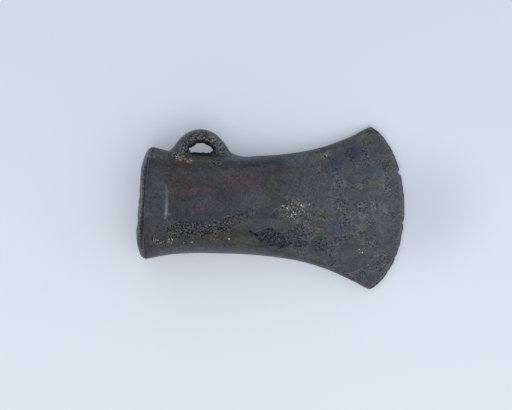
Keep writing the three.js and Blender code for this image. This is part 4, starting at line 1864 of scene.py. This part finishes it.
    def stain(self, graph: Graph, under: Socket, blot: Blot, place: Socket,
              grains: dict[Grain, Socket]) -> Socket:
        """Lays one stain over a colour.

        Args:
            graph: The material's graph.
            under: The colour so far.
            blot: The stain.
            place: Where the surface is, with a wavering that makes outlines ragged.
            grains: How thickly each grain covers.

        Returns:
            The colour with the stain.
        """
        x, y = blot.middle
        inputs = {
            "Vector": place,
            "Location": (x, y, self.top_at(x)),
            "Rotation": (0.0, 0.0, blot.slant),
            "Scale": (*blot.half_sizes, blot.height),
        }
        centred = graph.node("Mapping", inputs, vector_type="TEXTURE").outputs[0]
        away = graph.vector("LENGTH", centred)["Value"]
        cover = graph.times(graph.step(away, Span(self.stain_fade.high, self.stain_fade.low)), blot.strength)
        if blot.grain in grains:
            cover = graph.times(cover, grains[blot.grain])
        return graph.blend(cover, under, linear(blot.colour))

    def wear(self, graph: Graph, place: Socket, colour: Socket, marks: dict[str, Socket],
             crystals: dict[str, Socket]) -> tuple[Socket, Socket]:
        """Colours what is sunk or painted in shade, hollow, crusted, worn or painted with sheen, and works
        out how rough it all is.

        Args:
            graph: The material's graph.
            place: Where the surface is.
            colour: The colour so far.
            marks: The marks on the surface.
            crystals: The crystals that may be crust.

        Returns:
            The colour and the roughness.
        """
        clouds = graph.noise(place, self.wear_clouds)
        # Worn metal, the painted sheen and the painted highlight all take the pale worn colour.
        colour = graph.blend(graph.times(marks["worn"], self.worn_cover), colour, self.worn)
        # The sunk mark darkens dark corrosion, as in the spall, the crack and the loop's pits, and paints
        # shade in the loop's eye, on the bank under it, along the cutting edge's rim and in the crease beside
        # the upper bevel.
        colour = graph.blend(graph.times(marks["sunk"], self.sunk_cover), colour, self.sunk)
        colour = graph.blend(graph.step(marks["sunk"], self.black_from), colour, self.pit)
        lot = graph.plus(crystals["lot"], graph.times(marks["crust"], self.crust_more))
        grain = graph.times(graph.step(lot, self.crust_lot), graph.step(crystals["away"], self.crust_edge))
        colour = graph.blend(graph.times(grain, self.crust_cover), colour, self.crust)
        earth = graph.blend(graph.step(clouds, self.earth_clouds), self.brown, self.earth)
        colour = graph.blend(marks["hollow"], colour, earth)
        dull = graph.plus(marks["crust"], graph.plus(marks["hollow"], marks["sunk"]))
        span = {"Value": clouds, "From Min": self.rough_clouds.low, "From Max": self.rough_clouds.high,
                "To Min": self.roughness[0], "To Max": self.roughness[1]}
        rough = graph.node("MapRange", span).outputs[0]
        rough = graph.plus(rough, graph.times(dull, self.dull_rougher), clamp=True)
        return colour, graph.minus(rough, graph.times(marks["worn"], self.worn_smoother), clamp=True)

    def grit(self, graph: Graph, place: Socket, colour: Socket, marks: dict[str, Socket],
             fine: dict[str, Socket], pits: dict[str, Socket]) -> tuple[Socket, Socket]:
        """Breaks the colour up into light and dark grains, and sinks the pits.

        Args:
            graph: The material's graph.
            place: Where the surface is.
            colour: The colour so far.
            marks: The marks on the surface.
            fine: The crystals of the grain.
            pits: The crystals that hold a pit each.

        Returns:
            The colour with the grain, and how far each place lies in a pit.
        """
        along = graph.node("SeparateXYZ", {0: place}).outputs[0]
        coarse = graph.step(graph.noise(place, self.blade_patches), self.blade_cut)
        coarse = graph.times(coarse, self.blade_grain + self.blade_calm)
        coarse = graph.minus(coarse, self.blade_calm)
        spread = graph.plus(1.0, graph.times(graph.step(along, self.blade_along), coarse))
        spread = graph.times(spread, self.grain)
        spread = graph.plus(spread, graph.times(marks["pitted"], self.pitted_grain))
        soft = graph.minus(graph.noise(place, self.soft_grain), self.noise_middle)
        drawn = graph.times(graph.minus(fine["level"], self.noise_middle), 2.0)
        level = graph.plus(graph.times(drawn, self.fine_level), graph.math("POWER", drawn, self.fine_power))
        level = graph.plus(level, graph.times(soft, self.soft_level))
        level = graph.plus(1.0, graph.times(level, spread))
        colour = graph.blend(1.0, colour, graph.math("MAXIMUM", level, self.darkest), "MULTIPLY")
        crowded = graph.plus(graph.times(marks["pitted"], self.pit_crowding), pits["level"])
        held = graph.times(graph.step(crowded, self.pit_lot), graph.step(marks["pitted"], self.pit_field))
        hole = graph.times(graph.step(pits["away"], self.pit_edge), held)
        rim = graph.times(graph.step(pits["away"], self.pit_rim), held)
        rim = graph.times(rim, graph.step(marks["sunk"], self.pit_rim_bare))
        colour = graph.blend(graph.times(rim, self.pit_rim_cover), colour, self.rim)
        return graph.blend(hole, colour, self.pit), hole

    def relief(self, graph: Graph, place: Socket, hole: Socket) -> Socket:
        """Gives the surface its finest grain, below what the mesh holds.

        Args:
            graph: The material's graph.
            place: Where the surface is.
            hole: How far each place lies in a pit.

        Returns:
            The normal.
        """
        pores = graph.node("TexVoronoi", {"Vector": place, "Scale": 1 / self.pore_size}).outputs["Distance"]
        pores = graph.times(graph.step(pores, self.pore_edge), self.pore_depth)
        height = graph.plus(graph.noise(place, self.relief_grain), pores)
        height = graph.minus(height, graph.times(hole, self.pit_depth))
        inputs = {"Height": height, "Strength": self.relief_strength, "Distance": self.relief_height * MM}
        return graph.node("Bump", inputs).outputs[0]


@dataclass(frozen=True)
class AxeHead:
    """The whole casting, zone by zone."""

    form: CastingForm
    lie: Lie
    patina: Patina
    facets: Facets = Facets()

    def build(self) -> list[bpy.types.Object]:
        """Builds every piece of the casting and seats it in the frame.

        Returns:
            The pieces.
        """
        loop = SideLoop(self.form)
        material = self.patina.material()
        skin = Skin(self.form, self.facets, loop.end)
        whole = skin.mesh()
        surface = Surface.read(whole)
        Wear(self.form).age(surface)
        loop.bank(surface)
        self.patina.dye(surface)
        surface.write(whole)
        keep_normals(whole)
        seats = {
            Zone.COLLAR: ("collar_casting", "mouth_collar", "collar_bronze"),
            Zone.BODY: ("body_casting", "socket_body", "body_bronze"),
            Zone.BLADE: ("blade_casting", "blade", "blade_bronze"),
            Zone.EDGE: ("edge_casting", "cutting_edge", "edge_bronze"),
        }
        pieces = []
        for zone, (name, node, slot) in seats.items():
            pieces.append(self.seat(skin.piece(whole, zone), name, node, material))
        whole.free()

        arch = loop.mesh()
        surface = Surface.read(arch)
        loop.age(surface)
        self.patina.dye(surface)
        surface.write(arch)
        keep_normals(arch)
        arch.faces.layers.int.new("zone")
        pieces.append(self.seat(arch, "loop_casting", "side_loop", material))
        return pieces

    def seat(self, bm: Mesh, name: str, node: str,
             material: bpy.types.Material) -> bpy.types.Object:
        """Lays a mesh down as the axe lies, as a piece that stands for a node of the frame.

        Args:
            bm: The closed mesh in millimetres along the axe's axes, which is freed.
            name: The piece's name.
            node: The node that it stands for.
            material: What it is dressed in.

        Returns:
            The piece.
        """
        volume, open_edges = bm.calc_volume(signed=True), sum(not edge.is_manifold for edge in bm.edges)
        for vert, place in zip(bm.verts, self.lie.place(np.array([vert.co for vert in bm.verts]))):
            vert.co = place
        mesh = bpy.data.meshes.new(name)
        bm.to_mesh(mesh)
        bm.free()
        normals = np.empty(3 * len(mesh.vertices), np.float32)
        mesh.attributes["skin_normal"].data.foreach_get("vector", normals)
        corners = np.empty(len(mesh.loops), np.int32)
        mesh.loops.foreach_get("vertex_index", corners)
        split = self.lie.turn(normals.reshape(-1, 3))[corners]
        zones = mesh.attributes["zone"].data
        for polygon in mesh.polygons:
            if zones[polygon.index].value == Zone.CLOSURE:
                split[polygon.loop_start:polygon.loop_start + polygon.loop_total] = polygon.normal
        mesh.normals_split_custom_set(split.tolist())
        for layer in ("skin_normal", "zone", "row"):
            mesh.attributes.remove(mesh.attributes[layer])
        mesh.materials.append(material)
        piece = bpy.data.objects.new(name, mesh)
        bpy.context.scene.collection.objects.link(piece)
        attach(piece, "root")
        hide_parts(node)
        LOG.info("%s: %d points, %.0f mm3, %d open edges", name, len(mesh.vertices), volume, open_edges)
        return piece


@dataclass(frozen=True)
class Table:
    """The pale surface that the axe lies on, painted a little darker beyond the loop as a falloff of the
    light, with a painted shadow beside the edge and a faint glow that lightens its shadows.
    """

    half_size: float = 3.0
    # The table is painted paler on the near side and darker on the far side, a painted falloff of the light.
    near: Triple = linear((236, 238, 243))
    far: Triple = linear((223, 227, 234))
    # Colour of a painted shadow on the table beside the cutting edge, centred and sized by the next three
    # values.
    side: Triple = linear((209, 213, 220))
    across: Span = Span(-0.075, 0.075)
    shadow_middle: Pair = (0.05, 0.001)
    shadow_size: Pair = (0.036, 0.032)
    shadow_fade: Span = Span(1.0, 0.1)
    # A faint glow in the table's own colour, seen by the camera and in reflections, that lightens the table's
    # shadows: painted light.
    shadow_lift: float = 0.16
    shadow_lift_tint: Triple = (0.81, 0.92, 1.0)

    def build(self) -> bpy.types.Object:
        """Builds the table.

        Returns:
            The table, which is marked as stage.
        """
        bm = bmesh.new()
        bmesh.ops.create_grid(bm, x_segments=1, y_segments=1, size=self.half_size)
        mesh = bpy.data.meshes.new("table_top")
        bm.to_mesh(mesh)
        bm.free()
        table = bpy.data.objects.new("table_top", mesh)
        bpy.context.scene.collection.objects.link(table)
        mesh.materials.append(self.paint())
        return table

    def paint(self) -> bpy.types.Material:
        """Wires the table's matt paint, with its painted falloff and its painted shadow beside the edge, and
        a faint glow seen by the camera and in reflections that lightens its shadows.

        Returns:
            The material.
        """
        material = bpy.data.materials.new("table_paint")
        material.use_nodes = True
        graph = Graph(material.node_tree)
        coordinates = graph.node("TexCoord", {}).outputs["Object"]
        place = graph.node("SeparateXYZ", {0: coordinates}).outputs
        # Painted falloff: darker towards the far side.
        colour = graph.blend(graph.step(place[1], self.across), self.near, self.far)
        # Painted shadow beside the cutting edge.
        away = [graph.math("DIVIDE", graph.minus(place[axis], self.shadow_middle[axis]), self.shadow_size[axis])
                for axis in range(2)]
        reach = graph.math("SQRT", graph.plus(*(graph.times(distance, distance) for distance in away)))
        colour = graph.blend(graph.step(reach, self.shadow_fade), colour, self.side)
        diffuse = graph.node("BsdfDiffuse", {"Color": colour}).outputs[0]
        # Glow that lightens the table's shadows, painted light.
        tinted = graph.blend(1.0, colour, self.shadow_lift_tint, "MULTIPLY")
        shadow_lift = graph.node("Emission", {"Color": tinted}).outputs[0]
        rays = graph.node("LightPath", {}).outputs
        seen = graph.plus(rays["Is Glossy Ray"], rays["Is Transmission Ray"])
        seen = graph.plus(rays["Is Camera Ray"], seen, clamp=True)
        shader = graph.node("MixShader", {0: graph.times(seen, self.shadow_lift), 1: diffuse, 2: shadow_lift})
        graph.node("OutputMaterial", {"Surface": shader.outputs[0]})
        return material


@dataclass(frozen=True)
class Studio:
    """Soft light from a pale room and one large lamp towards the lower right, and the camera above."""

    room: Triple = (0.86, 0.93, 1.0)
    room_level: float = 0.74
    seen: Triple = linear((222, 229, 238))
    lamp_place: Triple = (0.2, -0.42, 1.6)
    lamp_size: float = 1.3
    lamp_level: float = 0.3
    lamp_colour: Triple = (1.0, 0.98, 0.95)
    camera_place: Triple = (-0.0052, 0.00015, 0.7)
    camera_roll: float = math.radians(1.33)
    lens: float = 137.11
    clip_start: float = 0.01

    def light(self) -> None:
        """Lights the world and hangs the lamp, at a level where the two together show colours as they are."""
        world = bpy.data.worlds.new("pale_room")
        world.use_nodes = True
        bpy.context.scene.world = world
        graph = Graph(world.node_tree)
        path = graph.node("LightPath", {}).outputs
        seen = graph.math("MAXIMUM", path["Is Camera Ray"], path["Is Glossy Ray"])
        seen = graph.math("MAXIMUM", seen, path["Is Transmission Ray"])
        lit = tuple(channel * self.room_level for channel in self.room)
        background = graph.node("Background", {"Color": graph.blend(seen, lit, self.seen), "Strength": 1.0})
        graph.node("OutputWorld", {"Surface": background.outputs[0]})

        lamp = bpy.data.lights.new("window", "AREA")
        lamp.shape = "DISK"
        lamp.size = self.lamp_size
        away = Vector(self.lamp_place)
        lamp.energy = self.lamp_level * math.pi**2 * away.length**3 / away.z
        lamp.color = self.lamp_colour
        window = bpy.data.objects.new("window", lamp)
        window.location = away
        window.rotation_euler = away.to_track_quat("Z", "Y").to_euler()
        bpy.context.scene.collection.objects.link(window)

    def aim(self) -> None:
        """Sets the camera straight above the axe."""
        camera = bpy.data.cameras.new("camera")
        camera.lens = self.lens
        camera.clip_start = self.clip_start
        eye = bpy.data.objects.new("camera", camera)
        eye.location = self.camera_place
        eye.rotation_euler = (0.0, 0.0, self.camera_roll)
        bpy.context.scene.collection.objects.link(eye)
        bpy.context.scene.camera = eye


def main() -> None:
    """Builds the axe head, the table it lies on and the light."""
    logging.basicConfig(level=logging.INFO, format="%(name)s: %(message)s")
    bpy.context.scene.view_settings.view_transform = "Standard"
    form = CastingForm()
    lie = Lie.read(frame["record"], form.socket_depth)
    AxeHead(form, lie, Patina(form, lie)).build()
    Table().build()
    studio = Studio()
    studio.light()
    studio.aim()
    bpy.context.view_layer.update()


if __name__ == "__main__":
    main()
